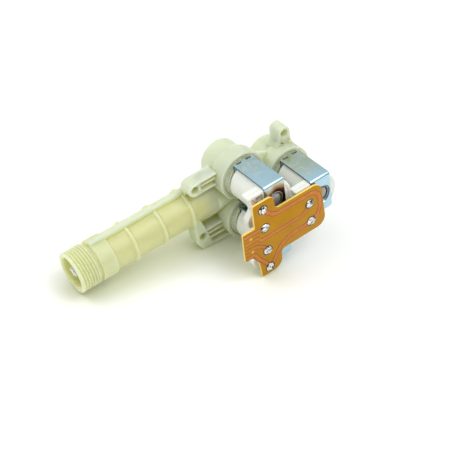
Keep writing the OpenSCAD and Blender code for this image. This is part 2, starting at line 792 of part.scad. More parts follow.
// Amber circuit board that links the coils and ends in a plug-on tongue
module circuit_board() {
    tooling = [[-23, 2.7], [-23, -7.1]];
    color("#C8921C")
        difference() {
            slab(board_front - board_t, board_front)
                translate([inlet_reach, 0])
                    polygon(rounded(board_corners));
            for (p = pads)
                translate([p[0], 0, p[1]])
                    rotate([90, 0, 0])
                        rod(pin_r + 0.25, board_front - 2 * board_t, board_front + 1, $fn = 24);
            for (p = tooling)
                translate([inlet_reach + p[0], 0, p[1]])
                    rotate([90, 0, 0])
                        rod(tooling_r, board_front - 2 * board_t, board_front + 1, $fn = 24);
        }
}

// Printed copper: four tracks from the tongue to the pads
module copper_tracks() {
    edge = -27.9;
    axis = [inlet_reach, 0];
    function pad(k) = pads[k] - axis;
    bend_r = 2;
    shared = [pad(0), [-9.8, top - 0.2], [-6.4, top - 3.5], [-3.3, 10.8], [far - 11.3, 10.2],
        [far - 7.9, 9], [far - 5.5, 6.4], [far - 4.6, 2.4], [far - 5.1, -3.6], [far - 7.7, -8.4], pad(5),
        [far - 17.3, -11.2], [8, -11.1], [2, -12.4], [-2.4, low + 0.9], [-5.8, low - 2.7], [-9.1, low - 8.2],
        pad(3)];
    paths = [[pad(3), [-14.4, low - 6.3], [-19.4, -15.4], [-21.7, -10.4], [edge, -10]],
        [pad(4), [far - 15.7, -0.2], [far - 18.7, -2.4], [-16.3, -2.5], [-18.6, 0.5], [edge, 0.6]],
        [pad(1), [-16.3, 5.7], [edge, 5.9]],
        [pad(2), [-15.4, -8.1], [-19.9, -5.3], [edge, -4.7]]];
    front = board_front + copper_t;
    color("#CC7A3E")
        difference() {
            union() {
                slab(board_front, front)
                    translate(axis)
                        polygon(strip(eased(shared, bend_r), common_w));
                for (p = paths)
                    slab(board_front, front)
                        translate(axis)
                            polygon(strip(eased(p, bend_r), track_w));
                for (p = pads)
                    translate([p[0], 0, p[1]])
                        rotate([90, 0, 0])
                            rod(pad_r, board_front, front, $fn = 32);
            }
            for (p = pads)
                translate([p[0], 0, p[1]])
                    rotate([90, 0, 0])
                        rod(pin_r + 0.02, board_front - 1, front + 1, $fn = 24);
        }
}

// Six domed solder joints round the pins
module solder_joints() {
    low = board_front + copper_t;
    top = pin_front - 0.1;
    r = pad_r - 0.15;
    in = pin_r + 0.02;
    color("#C4C8C4")
        for (p = pads)
            translate([p[0], 0, p[1]])
                rotate([90, 0, 0])
                    rotate_extrude($fn = 36)
                        polygon([[in, low], [r, low], [r * 0.86, low + 0.35], [r * 0.6, low + 0.75],
                            [in + 0.35, top], [in, top]]);
}

valve_body();
inlet_strainer();
circuit_board();
copper_tracks();
solder_joints();
for (v = [0:2]) at_valve(v) {
    coil();
    winding();
    terminal_pins();
    yoke();
    flux_plate();
    front_sleeve();
    rear_sleeve();
    bonnet();
    plunger();
    plunger_seal();
    plunger_spring();
    diaphragm();
    diaphragm_disc();
    flow_washer();
}
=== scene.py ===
"""Washing machine inlet valve: a nylon body with a threaded inlet tube, three coils and the board that links them.

All sizes are in millimetres until a mesh is made. A valve's own coordinates are x to the right, y up and w
forwards from the tube axis, so a point lies at (valve x + x, -w, valve z + y) in the part's frame.
"""

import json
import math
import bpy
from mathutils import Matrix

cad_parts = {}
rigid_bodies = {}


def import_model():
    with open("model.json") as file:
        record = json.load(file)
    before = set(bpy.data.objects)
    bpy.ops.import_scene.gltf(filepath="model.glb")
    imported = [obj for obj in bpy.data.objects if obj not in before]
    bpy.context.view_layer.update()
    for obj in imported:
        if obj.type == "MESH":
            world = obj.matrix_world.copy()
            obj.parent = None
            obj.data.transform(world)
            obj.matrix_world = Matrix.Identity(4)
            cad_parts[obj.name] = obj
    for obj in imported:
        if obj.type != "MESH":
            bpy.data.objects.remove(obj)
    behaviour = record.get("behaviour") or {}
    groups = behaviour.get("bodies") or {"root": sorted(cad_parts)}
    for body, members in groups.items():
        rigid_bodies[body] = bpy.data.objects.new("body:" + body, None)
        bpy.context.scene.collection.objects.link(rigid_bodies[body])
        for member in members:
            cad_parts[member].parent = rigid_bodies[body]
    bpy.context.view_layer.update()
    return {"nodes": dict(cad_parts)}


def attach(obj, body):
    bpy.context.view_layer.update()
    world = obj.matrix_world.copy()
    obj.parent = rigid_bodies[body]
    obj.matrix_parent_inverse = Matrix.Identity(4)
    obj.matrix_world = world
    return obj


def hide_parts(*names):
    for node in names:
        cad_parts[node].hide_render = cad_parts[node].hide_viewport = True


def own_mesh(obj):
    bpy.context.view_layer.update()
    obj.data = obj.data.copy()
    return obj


bl_info = {
    "name": "Washing Machine Inlet Valve",
    "version": (1, 0, 0),
    "blender": (4, 5, 0),
    "location": "View3D > Sidebar > Inlet Valve",
    "description": "Builds the visible pieces and finishes of a triple solenoid inlet valve",
    "category": "Add Mesh",
}

import bmesh
import bpy
import numpy as np
from bpy.props import FloatProperty, FloatVectorProperty, IntProperty, PointerProperty
from mathutils import Matrix, Vector

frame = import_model()

VALVES = {"upper": (114.5, 15.7), "lower": (114.5, -15.7), "side": (147.8, 0.0)}
TERMINALS = ((-12.45, 3.1), (-12.45, -10.6))


def linear(code):
    """sRGB hex code to linear red, green and blue."""
    c = np.array([int(code[i:i + 2], 16) for i in (1, 3, 5)]) / 255
    return tuple(np.where(c <= 0.04045, c / 12.92, ((c + 0.055) / 1.055) ** 2.4))


def length(name, default, description, **limits):
    """A length in metres as a property, given in millimetres."""
    return FloatProperty(name=name, default=default / 1000, description=description, subtype="DISTANCE",
                         unit="LENGTH", precision=5, **limits)


def tint(name, code, description):
    """A colour as a property, given as an sRGB hex code."""
    return FloatVectorProperty(name=name, default=linear(code), description=description, subtype="COLOR",
                               min=0, max=1, size=3)


class BodySizes(bpy.types.PropertyGroup):
    """Sizes of the nylon moulding."""
    tube: length("Tube radius", 12.1, "Outer radius of the inlet tube")
    mouth: length("Mouth radius", 9.85, "Radius of the bore at the inlet's mouth")
    collar: length("Collar radius", 13.2, "Outer radius of the plain collar")
    thread: length("Thread radius", 13.22, "Major radius of the hose thread")
    thread_depth: length("Thread depth", 1.16, "Height of the thread")
    pitch: length("Thread pitch", 1.814, "Distance between thread turns")
    chamber: length("Chamber radius", 15.9, "Outer radius of a valve chamber")
    front: length("Chamber front", 17.7, "Depth of a chamber's front rim in front of the tube axis")
    outlet: length("Outlet radius", 13.2, "Outer radius of an outlet")
    socket: length("Socket radius", 10.6, "Radius of an outlet's socket")
    edge: length("Edge radius", 0.45, "Rounding of the moulding's edges")
    around: IntProperty(name="Steps round a circle", default=128, min=32, max=256,
                        description="Number of steps round the tube and the chambers")


class CoilSizes(bpy.types.PropertyGroup):
    """Sizes of a coil and its yoke."""
    radius: length("Coil radius", 12.6, "Radius of the coil")
    back: length("Coil back", 20.95, "Depth of the coil's back face in front of the tube axis")
    plate: length("Plate back", 19.5, "Depth of the flux plate's back in front of the tube axis")
    flat: length("Flat height", 12.2, "Height of the flats under the yoke's legs")
    strip: length("Yoke width", 14.4, "Width of the yoke's steel strip")
    height: length("Yoke height", 27.2, "Height over the yoke's legs")
    steel: length("Steel thickness", 1.3, "Thickness of the strip and of the flux plate")
    bend: length("Bend radius", 2.0, "Outer radius of the yoke's bends")
    hole: length("Yoke hole radius", 6.15, "Radius of the hole for the guide tube")


class BoardSizes(bpy.types.PropertyGroup):
    """Sizes of the circuit board."""
    front: length("Front face", 53.0, "Depth of the board's front in front of the tube axis")
    thickness: length("Board thickness", 1.5, "Thickness of the laminate")
    track: length("Track width", 2.1, "Width of a track")
    shared: length("Shared track width", 2.6, "Width of the track that all coils share")
    pad: length("Pad radius", 3.1, "Radius of a soldering pad")
    tooling: length("Tooling hole radius", 1.05, "Radius of the two small holes in the tongue")


class FinishColours(bpy.types.PropertyGroup):
    """Colours of the real materials."""
    nylon: tint("Natural nylon", "#DFDFA0", "Body moulding")
    # Painted light: the paler, greener tone that light through thin, free-standing walls and light off the white coils
    # give the nylon.
    thin: tint("Thin nylon", "#D2DCC2", "Body moulding where its walls are thin and stand free")
    coil: tint("White polyester", "#F1F3EC", "Bobbin covers")
    zinc: tint("Blue zinc plate", "#AECEDC", "Yokes and flux plates")
    # Painted reflection: the grey-green painted on the backs of the yokes, standing in for a reflection.
    zinc_reflected_grey: tint("Grey zinc plate", "#B3C3B4", "Older patches of the zinc plate")
    laminate: tint("Amber laminate", "#BF8609", "Circuit board")
    copper: tint("Lacquered copper", "#CE7B33", "Tracks under amber lacquer")
    solder: tint("Solder", "#F2F2EE", "Solder joints and pins")
    bonnet: tint("Glass-filled nylon", "#DDE3C4", "Bonnets")
    guide: tint("Guide tube", "#9C9E98", "Guide tubes, with the steel behind them")
    rubber: tint("Rubber", "#2A2827", "Diaphragms, seals and washers")
    floor: tint("Floor", "#FDFDFC", "Table under the valve")


# Shapes


def turned(corners, closed=True, step=18):
    """Corners (a, b, radius) of an outline as points, each corner replaced by the arc that touches both its sides."""
    n = len(corners)
    out = []
    for k, (a, b, r) in enumerate(corners):
        p = np.array([a, b], float)
        if r <= 0 or (not closed and k in (0, n - 1)):
            out.append(p[None])
            continue
        u = np.array(corners[k - 1][:2], float) - p
        v = np.array(corners[(k + 1) % n][:2], float) - p
        u, v = u / np.linalg.norm(u), v / np.linalg.norm(v)
        half = math.acos(float(np.clip(u @ v, -1, 1))) / 2
        if half > 1.55:
            out.append(p[None])
            continue
        middle = p + (u + v) / np.linalg.norm(u + v) * r / math.sin(half)
        start = p + u * r / math.tan(half) - middle
        turn = math.pi - 2 * half
        count = max(2, math.ceil(math.degrees(turn) / step))
        t = np.linspace(0, turn, count + 1) * (-1 if u[0] * v[1] - u[1] * v[0] > 0 else 1)
        out.append(middle + np.stack([start[0] * np.cos(t) - start[1] * np.sin(t),
                                      start[0] * np.sin(t) + start[1] * np.cos(t)], 1))
    return np.concatenate(out)


def grid_faces(rows, columns, wrap_rows=False, wrap_columns=True):
    """Quads between neighbouring points of a grid stored row by row."""
    a, b = np.meshgrid(np.arange(rows if wrap_rows else rows - 1),
                       np.arange(columns if wrap_columns else columns - 1), indexing="ij")
    a2, b2 = (a + 1) % rows, (b + 1) % columns
    return np.stack([a * columns + b, a2 * columns + b, a2 * columns + b2, a * columns + b2], -1).reshape(-1, 4)


def lathe(profile, around=128, closed=True):
    """Surface of revolution in valve coordinates: (r, w) at angle t lies at (r cos t, r sin t, w)."""
    t = np.linspace(0, 2 * np.pi, around, endpoint=False)
    r, w = np.asarray(profile, float).T
    points = np.stack([r[:, None] * np.cos(t), r[:, None] * np.sin(t), np.repeat(w[:, None], around, 1)], -1)
    return points.reshape(-1, 3), grid_faces(len(r), around, wrap_rows=closed).tolist()


def loft(loops):
    """Skin over loops of equally many points, closed by a face at either end."""
    loops = np.asarray(loops, float)
    rows, columns = loops.shape[:2]
    faces = grid_faces(rows, columns).tolist()
    faces += [list(range(columns))[::-1], list(range((rows - 1) * columns, rows * columns))]
    return loops.reshape(-1, 3), faces


def inset(outline, d):
    """Outline moved inwards by d: each point goes along the mean normal of its two sides, by d over that normal's share."""
    p = np.asarray(outline, float)
    area = np.sum(p[:, 0] * np.roll(p[:, 1], -1) - np.roll(p[:, 0], -1) * p[:, 1])
    side = np.roll(p, -1, 0) - p
    side /= np.linalg.norm(side, axis=1)[:, None]
    normal = np.stack([-side[:, 1], side[:, 0]], 1) * np.sign(area)
    mean = normal + np.roll(normal, 1, 0)
    mean /= np.linalg.norm(mean, axis=1)[:, None]
    return p + mean * (d / np.maximum(0.35, np.sum(mean * normal, 1)))[:, None]


def slab(outline, low, high, edge=0.35, steps=3):
    """Plate between two depths with quarter-round edges: at a depth s from a face the outline is moved in by
    edge - sqrt(edge^2 - (edge - s)^2)."""
    a = np.linspace(0, np.pi / 2, steps + 1)
    rim = [(edge * (1 - math.sin(t)), edge * (1 - math.cos(t))) for t in a]
    stations = [(d, low + s) for d, s in rim] + [(d, high - s) for d, s in reversed(rim)]
    return loft([np.c_[inset(outline, d) if d > 1e-9 else outline, np.full(len(outline), w)] for d, w in stations])


def tube_along(path, radius, sides=10):
    """Round wire: at each point of the path a circle across the direction to its neighbours, and a face at each end."""
    p = np.asarray(path, float)
    along = np.gradient(p, axis=0)
    along /= np.linalg.norm(along, axis=1)[:, None]
    up = np.cross(along, [0.31, 0.17, 0.93])
    up /= np.linalg.norm(up, axis=1)[:, None]
    side = np.cross(along, up)
    t = np.linspace(0, 2 * np.pi, sides, endpoint=False)[None, :, None]
    return loft(p[:, None] + radius * (np.cos(t) * up[:, None] + np.sin(t) * side[:, None]))


def solid(name, *shapes, place=None, smooth=32):
    """Mesh object in metres from (points, faces) shapes, with doubles merged and its faces turned outwards."""
    points, faces, first = [], [], 0
    for p, f in shapes:
        points.append(p)
        faces += [[i + first for i in face] for face in f]
        first += len(p)
    points = np.concatenate(points)
    if place is not None:
        points = place(points)
    mesh = bpy.data.meshes.new(name)
    mesh.from_pydata((points / 1000).tolist(), [], faces)
    bm = bmesh.new()
    bm.from_mesh(mesh)
    bmesh.ops.remove_doubles(bm, verts=bm.verts, dist=2e-7)
    bmesh.ops.recalc_face_normals(bm, faces=bm.faces)
    bm.to_mesh(mesh)
    bm.free()
    thing = bpy.data.objects.new(name, mesh)
    bpy.context.scene.collection.objects.link(thing)
    shade(thing, smooth)
    return thing


def shade(thing, degrees=32):
    """Smooth shading, with edges sharper than the angle left sharp."""
    mesh = thing.data
    mesh.polygons.foreach_set("use_smooth", np.ones(len(mesh.polygons), bool))
    mesh.set_sharp_from_angle(angle=math.radians(degrees))
    mesh.update()


def settle(thing):
    """Replaces an object's mesh by what its modifiers make of it."""
    graph = bpy.context.evaluated_depsgraph_get()
    made = bpy.data.meshes.new_from_object(thing.evaluated_get(graph), depsgraph=graph)
    old = thing.data
    thing.modifiers.clear()
    thing.data = made
    made.name = thing.name
    bpy.data.meshes.remove(old)
    return thing


def combine(base, tools, operation):
    """Joins the tools to the base, or cuts them from it, and removes them."""
    for tool in tools:
        cut = base.modifiers.new("combine", "BOOLEAN")
        cut.operation = operation
        cut.object = tool
        cut.solver = "MANIFOLD"
    settle(base)
    for tool in tools:
        mesh = tool.data
        bpy.data.objects.remove(tool)
        bpy.data.meshes.remove(mesh)
    return base


def at_valve(name):
    """Turns valve coordinates into the part's own."""
    x, z = VALVES[name]
    return lambda p: np.stack([x + p[:, 0], -p[:, 2], z + p[:, 1]], 1)


def facing(p):
    """Turns (x, z, depth) into the part's own coordinates."""
    return np.stack([p[:, 0], -p[:, 2], p[:, 1]], 1)


def along_tube(p):
    """Turns lathe coordinates into the part's own, with the lathe's axis along the inlet tube."""
    return np.stack([p[:, 2], p[:, 0], p[:, 1]], 1)


def finished(thing, material, slot, *nodes, body="valve"):
    """Gives a piece its material, the body it rides on and the CAD nodes it stands for; slot is not used."""
    thing.data.materials.clear()
    thing.data.materials.append(material)
    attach(thing, body)
    if nodes:
        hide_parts(*nodes)
    return thing


def mm(value):
    """Millimetres from a property."""
    return value * 1000


# Materials


def add(tree, kind, settings=(), links=()):
    """Adds one node, sets its properties and sockets, and links outputs to its inputs."""
    node = tree.nodes.new(kind)
    for key, value in dict(settings).items():
        if isinstance(key, int) or key in node.inputs:
            node.inputs[key].default_value = value
        else:
            setattr(node, key, value)
    for key, source in dict(links).items():
        tree.links.new(source, node.inputs[key])
    return node


def begin(name, **settings):
    """New material with its Principled shader, its tree and its object coordinates."""
    material = bpy.data.materials.new(name)
    material.use_nodes = True
    tree = material.node_tree
    shader = tree.nodes["Principled BSDF"]
    for key, value in settings.items():
        shader.inputs[key.replace("_", " ")].default_value = value
    place = add(tree, "ShaderNodeTexCoord").outputs["Object"]
    return material, tree, shader, place


def ramp(tree, source, stops, interpolation="LINEAR"):
    """Colour ramp over (position, colour) stops."""
    node = add(tree, "ShaderNodeValToRGB", links={"Fac": source})
    band = node.color_ramp
    band.interpolation = interpolation
    while len(band.elements) < len(stops):
        band.elements.new(0.5)
    for element, (position, colour) in zip(band.elements, stops):
        element.position = position
        element.color = (*colour, 1) if len(colour) == 3 else colour
    return node.outputs["Color"]


def grey(value):
    """A grey for a ramp."""
    return (value, value, value)


def shaded(colour, factor):
    """A colour made darker or lighter."""
    return tuple(min(1.0, c * factor) for c in colour)


def relief(tree, shader, height, distance, strength=1.0, rounded=None):
    """Bump from a height, over edges rounded by a radius in metres where one is given."""
    bump = add(tree, "ShaderNodeBump", {"Strength": strength, "Distance": distance}, {"Height": height})
    if rounded:
        edge = add(tree, "ShaderNodeBevel", {"samples": 6, "Radius": rounded})
        tree.links.new(edge.outputs["Normal"], bump.inputs["Normal"])
    tree.links.new(bump.outputs["Normal"], shader.inputs["Normal"])


def mixed(tree, share, first, second):
    """Colour between two, each a colour or an output."""
    node = add(tree, "ShaderNodeMix", {"data_type": "RGBA"}, {0: share})
    for key, value in ((6, first), (7, second)):
        if isinstance(value, tuple):
            node.inputs[key].default_value = (*value, 1)
        else:
            tree.links.new(value, node.inputs[key])
    return node.outputs[2]


def spread(tree, value, low, high, to_low=0.0, to_high=1.0):
    """A value brought from one range to another, clamped at its ends and eased between them."""
    return add(tree, "ShaderNodeMapRange", {"interpolation_type": "SMOOTHSTEP", "From Min": low, "From Max": high,
                                            "To Min": to_low, "To Max": to_high}, {"Value": value}).outputs["Result"]


def natural_nylon(colour, thin):
    """Nylon 66, unfilled and injection moulded: milky, so light enters it. Painted light makes it paler and greener
    where a wall is thin or stands free, such as an edge, a rib or a chamber's wall, and painted shade turns it a
    darker straw yellow in corners; where it is thick it keeps its straw yellow. It has a satin skin with faint flow
    marks about 8 mm apart and a fine grain of 1 mm."""
    material, tree, shader, place = begin(
        "nylon_66_natural_moulded", Roughness=0.36, IOR=1.53, Subsurface_Weight=1.0, Subsurface_Scale=0.008,
        Subsurface_Anisotropy=0.3)
    shader.inputs["Subsurface Radius"].default_value = (1.0, 0.97, 0.9)
    flow = add(tree, "ShaderNodeTexNoise", {"Scale": 120.0, "Detail": 3.0, "Roughness": 0.55, "Distortion": 0.6},
               {"Vector": place})
    # Painted light: inside occlusion measures the wall's thickness, and thin walls take the paler colour.
    wall = add(tree, "ShaderNodeAmbientOcclusion", {"inside": True, "samples": 8, "Distance": 0.003}).outputs["AO"]
    corner = add(tree, "ShaderNodeAmbientOcclusion", {"samples": 8, "Distance": 0.005}).outputs["AO"]
    along = add(tree, "ShaderNodeSeparateXYZ", links={0: place}).outputs["X"]
    across = add(tree, "ShaderNodeMapping", {"Scale": (0.0, 1.0, 1.0)}, {"Vector": place})
    out = add(tree, "ShaderNodeVectorMath", {"operation": "LENGTH"}, {0: across.outputs["Vector"]}).outputs["Value"]
    # Painted light: thin walls, what stands out more than 12.4 mm from the tube's axis and, from x 84 mm on, the
    # chambers get the paler colour.
    ribs = add(tree, "ShaderNodeMath", {"operation": "MAXIMUM"},
               {0: spread(tree, wall, 0.75, 0.25), 1: spread(tree, out, 0.0124, 0.0142, 0.0, 0.9)})
    free = add(tree, "ShaderNodeMath", {"operation": "MAXIMUM"},
               {0: ribs.outputs["Value"], 1: spread(tree, along, 0.084, 0.102, 0.0, 0.85)})
    base = mixed(tree, free.outputs["Value"], colour, thin)
    # Painted shade: outside occlusion darkens corners and creases to a deeper straw yellow.
    straw = mixed(tree, spread(tree, corner, 0.75, 0.3, 0.0, 0.75), base, shaded(colour, 0.97)[:2] + (colour[2] * 0.76,))
    shade_of = ramp(tree, flow.outputs["Fac"], [(0.25, grey(0.95)), (0.55, grey(0.985)), (0.8, grey(1.0))])
    tone = add(tree, "ShaderNodeMix", {"data_type": "RGBA", "blend_type": "MULTIPLY", 0: 1.0}, {6: straw, 7: shade_of})
    tree.links.new(tone.outputs[2], shader.inputs["Base Color"])
    tree.links.new(spread(tree, flow.outputs["Fac"], 0.3, 0.7, 0.28, 0.44), shader.inputs["Roughness"])
    grain = add(tree, "ShaderNodeTexNoise", {"Scale": 900.0, "Detail": 2.0}, {"Vector": place})
    relief(tree, shader, grain.outputs["Fac"], 0.00004, 0.5, rounded=0.0005)
    return material


def white_polyester(colour):
    """PBT, white and injection moulded: smooth and slightly glossy, with a little depth. Near the pins the front of
    the terminal blocks is brown, most at the upper coil: partly flux residue, partly a painted reflection of the
    amber board and painted shade."""
    material, tree, shader, place = begin(
        "pbt_white_moulded", Roughness=0.33, IOR=1.54, Subsurface_Weight=0.5, Subsurface_Scale=0.0016)
    shader.inputs["Subsurface Radius"].default_value = (1.0, 0.92, 0.82)
    cloud = add(tree, "ShaderNodeTexNoise", {"Scale": 160.0, "Detail": 4.0, "Roughness": 0.6}, {"Vector": place})
    tone = ramp(tree, cloud.outputs["Fac"], [(0.3, shaded(colour, 0.96)), (0.7, colour)])
    patch = add(tree, "ShaderNodeTexNoise", {"Scale": 420.0, "Detail": 5.0, "Roughness": 0.65}, {"Vector": place})
    # Brown patch near each block's pins: flux residue with a painted reflection of the amber board and painted shade.
    for name, (x, z) in VALVES.items():
        reach, depth = (0.0065, 0.32) if name == "upper" else (0.006, 0.2)
        spot = ((x - 9.4) / 1000, -0.0487, (z + 4.5) / 1000)
        away = add(tree, "ShaderNodeVectorMath", {"operation": "DISTANCE", 1: spot}, {0: place})
        ragged = add(tree, "ShaderNodeMath", {"operation": "MULTIPLY_ADD", 1: -0.006},
                     {0: patch.outputs["Fac"], 2: away.outputs["Value"]})
        share = spread(tree, ragged.outputs["Value"], reach - 0.003, 0.0, 0.0, depth)
        burnt = ramp(tree, share, [(0.0, linear("#EFE4CE")), (0.5, linear("#CBB389")), (1.0, linear("#94734A"))])
        tone = mixed(tree, share, tone, burnt)
    tree.links.new(tone, shader.inputs["Base Color"])
    grain = add(tree, "ShaderNodeTexNoise", {"Scale": 1400.0, "Detail": 2.0}, {"Vector": place})
    relief(tree, shader, grain.outputs["Fac"], 0.00004, 0.5, rounded=0.0003)
    return material


def zinc_plate(name, colour, reflected_grey, grey_reflection_depth, stain=None):
    """Cold-rolled steel strip with bright zinc plate and blue passivate: a bluish mirror-like skin with rolling
    marks 0.4 mm apart along the strip and cloudy patches of a few millimetres. Behind a given depth in metres it
    turns grey-green with a ragged border, a painted reflection, and punched edges are darker. Where stain gives
    the centre of a hole in metres, heat has stained the face round it, from straw to brown to nearly black; its
    golden middle tones are a painted reflection of the amber board."""
    material, tree, shader, place = begin(name, Metallic=1.0, Roughness=0.25)
    rolled = add(tree, "ShaderNodeMapping", {"Scale": (1.0, 0.06, 1.0)}, {"Vector": place})
    lines = add(tree, "ShaderNodeTexNoise", {"Scale": 1600.0, "Detail": 3.0, "Roughness": 0.6},
                {"Vector": rolled.outputs["Vector"]})
    cloud = add(tree, "ShaderNodeTexNoise", {"Scale": 150.0, "Detail": 3.0, "Roughness": 0.55, "Distortion": 0.9},
                {"Vector": place})
    # Painted reflection: behind the given depth, with a ragged border from the cloud, the plate is painted grey-green.
    depth = add(tree, "ShaderNodeSeparateXYZ", links={0: place}).outputs["Y"]
    uneven = add(tree, "ShaderNodeMath", {"operation": "MULTIPLY_ADD", 1: 0.02}, {0: cloud.outputs["Fac"], 2: depth})
    grey_reflection_share = spread(tree, uneven.outputs["Value"], grey_reflection_depth + 0.002, grey_reflection_depth + 0.018)
    fresh = ramp(tree, cloud.outputs["Fac"], [(0.3, shaded(colour, 0.96)), (0.5, colour), (0.85, linear("#B9D2DC"))])
    grey_reflection_tone = ramp(tree, cloud.outputs["Fac"], [(0.3, shaded(reflected_grey, 0.88)), (0.55, reflected_grey), (0.8, linear("#CBD5CD"))])
    tone = mixed(tree, grey_reflection_share, fresh, grey_reflection_tone)
    sides = add(tree, "ShaderNodeSeparateXYZ", links={0: add(tree, "ShaderNodeNewGeometry").outputs["True Normal"]})
    punched = add(tree, "ShaderNodeMath", {"operation": "ABSOLUTE"}, {0: sides.outputs["X"]}).outputs["Value"]
    tone = mixed(tree, spread(tree, punched, 0.6, 0.85, 0.0, 0.8), tone, linear("#5A676B"))
    matt = spread(tree, cloud.outputs["Fac"], 0.3, 0.7, 0.26, 0.18)
    if stain is not None:
        away = add(tree, "ShaderNodeVectorMath", {"operation": "DISTANCE", 1: stain}, {0: place})
        ragged = add(tree, "ShaderNodeMath", {"operation": "MULTIPLY_ADD", 1: 0.005},
                     {0: cloud.outputs["Fac"], 2: away.outputs["Value"]})
        near = spread(tree, ragged.outputs["Value"], 0.0078, 0.0165)
        # Heat stain round the hole; its golden middle stops are a painted reflection of the amber board.
        burnt = ramp(tree, near, [(0.0, linear("#2A120B")), (0.14, linear("#54230F")), (0.3, linear("#86551F")),
                                  (0.52, linear("#B08C4A")), (0.85, linear("#CFC6A4"))])
        share = ramp(tree, near, [(0.0, grey(1.0)), (0.6, grey(0.85)), (1.0, grey(0.0))])
        tone = mixed(tree, share, tone, burnt)
        matt = add(tree, "ShaderNodeMix", {3: 0.5}, {0: share, 2: matt}).outputs[0]
    tree.links.new(tone, shader.inputs["Base Color"])
    tree.links.new(matt, shader.inputs["Roughness"])
    both = add(tree, "ShaderNodeMath", {"operation": "MULTIPLY_ADD", 1: 1.5},
               {0: lines.outputs["Fac"], 2: cloud.outputs["Fac"]})
    relief(tree, shader, both.outputs["Value"], 0.00002, 0.4)
    return material


def sheared_steel(colour):
    """The flux plates: zinc plate on their faces, and on the edges that the punch left the bare broken steel, dark
    grey with bright torn specks 0.3 mm apart."""
    material, tree, shader, place = begin("steel_sheared_edges", Metallic=1.0, Roughness=0.3)
    across = add(tree, "ShaderNodeSeparateXYZ", links={0: add(tree, "ShaderNodeNewGeometry").outputs["True Normal"]})
    face = add(tree, "ShaderNodeMath", {"operation": "ABSOLUTE"}, {0: across.outputs["Y"]}).outputs["Value"]
    edge = spread(tree, face, 0.8, 0.5)
    torn = add(tree, "ShaderNodeTexNoise", {"Scale": 1500.0, "Detail": 4.0, "Roughness": 0.7}, {"Vector": place})
    broken = ramp(tree, torn.outputs["Fac"], [(0.4, linear("#16191A")), (0.56, linear("#3E4648")), (0.66, linear("#B4BCBC"))])
    tree.links.new(mixed(tree, edge, colour, broken), shader.inputs["Base Color"])
    tree.links.new(spread(tree, edge, 0.0, 1.0, 0.28, 0.5), shader.inputs["Roughness"])
    relief(tree, shader, torn.outputs["Fac"], 0.0002, 0.7)
    return material


def lacquered_laminate(colour):
    """Phenolic paper laminate under amber solder lacquer: glossy, slightly cloudy, with specks where fibres show,
    and a paler edge, a painted highlight along the sides where it was punched out."""
    material, tree, shader, place = begin(
        "phenolic_laminate_amber_lacquer", Roughness=0.42, IOR=1.22)
    cloud = add(tree, "ShaderNodeTexNoise", {"Scale": 90.0, "Detail": 5.0, "Roughness": 0.6}, {"Vector": place})
    tone = ramp(tree, cloud.outputs["Fac"], [(0.3, shaded(colour, 0.86)), (0.6, colour), (0.85, shaded(colour, 1.1))])
    speck = add(tree, "ShaderNodeTexVoronoi", {"Scale": 330.0}, {"Vector": place})
    dust = ramp(tree, speck.outputs["Distance"], [(0.03, grey(1.0)), (0.07, grey(0.0))])
    dotted = add(tree, "ShaderNodeMix", {"data_type": "RGBA", 7: (*linear("#7A4A12"), 1)}, {0: dust, 6: tone})
    # Painted highlight: faces that do not face forwards, the board's sides, are painted pale yellow.
    across = add(tree, "ShaderNodeSeparateXYZ", links={0: add(tree, "ShaderNodeNewGeometry").outputs["True Normal"]})
    face = add(tree, "ShaderNodeMath", {"operation": "ABSOLUTE"}, {0: across.outputs["Y"]})
    side = ramp(tree, face.outputs["Value"], [(0.55, grey(1.0)), (0.85, grey(0.0))])
    edged = add(tree, "ShaderNodeMix", {"data_type": "RGBA", 7: (*linear("#F8D878"), 1)},
                {0: side, 6: dotted.outputs[2]})
    tree.links.new(edged.outputs[2], shader.inputs["Base Color"])
    relief(tree, shader, cloud.outputs["Fac"], 0.00004, 0.5)
    return material


def lacquered_copper(colour):
    """Etched copper under the same lacquer: orange, a little metallic, with a slow change of tone."""
    material, tree, shader, place = begin(
        "copper_track_lacquered", Roughness=0.4, Metallic=0.2, IOR=1.25)
    cloud = add(tree, "ShaderNodeTexNoise", {"Scale": 260.0, "Detail": 3.0}, {"Vector": place})
    tone = ramp(tree, cloud.outputs["Fac"], [(0.3, shaded(colour, 0.88)), (0.7, shaded(colour, 1.08))])
    tree.links.new(tone, shader.inputs["Base Color"])
    relief(tree, shader, cloud.outputs["Fac"], 0.00003, 0.4)
    return material


def shadow_line_and_flux():
    """Lacquer edge with a painted shadow along it, and flux residue: dark brown and glossy, in a thin line round
    the copper and the joints.
    """
    material, tree, shader, place = begin("lacquer_edge_shadow_and_flux", Roughness=0.25, Coat_Weight=0.5)
    cloud = add(tree, "ShaderNodeTexNoise", {"Scale": 500.0, "Detail": 3.0}, {"Vector": place})
    tone = ramp(tree, cloud.outputs["Fac"], [(0.3, linear("#241304")), (0.7, linear("#573210"))])
    tree.links.new(tone, shader.inputs["Base Color"])
    return material


def soft_solder(colour):
    """Tin-lead solder: bright grey metal, wrinkled as it froze, with dark flux in its hollows and round its foot."""
    material, tree, shader, place = begin("solder_tin_lead", Metallic=1.0, Roughness=0.14)
    lump = add(tree, "ShaderNodeTexNoise", {"Scale": 430.0, "Detail": 2.0, "Roughness": 0.5, "Distortion": 1.4},
               {"Vector": place})
    tone = ramp(tree, lump.outputs["Fac"], [(0.38, linear("#15110C")), (0.425, linear("#5D564A")),
                                            (0.47, shaded(colour, 0.8)), (0.6, colour)])
    tree.links.new(tone, shader.inputs["Base Color"])
    tree.links.new(spread(tree, lump.outputs["Fac"], 0.36, 0.5, 0.4, 0.1), shader.inputs["Roughness"])
    tree.links.new(spread(tree, lump.outputs["Fac"], 0.37, 0.43), shader.inputs["Metallic"])
    relief(tree, shader, lump.outputs["Fac"], 0.0008, 1.0)
    return material


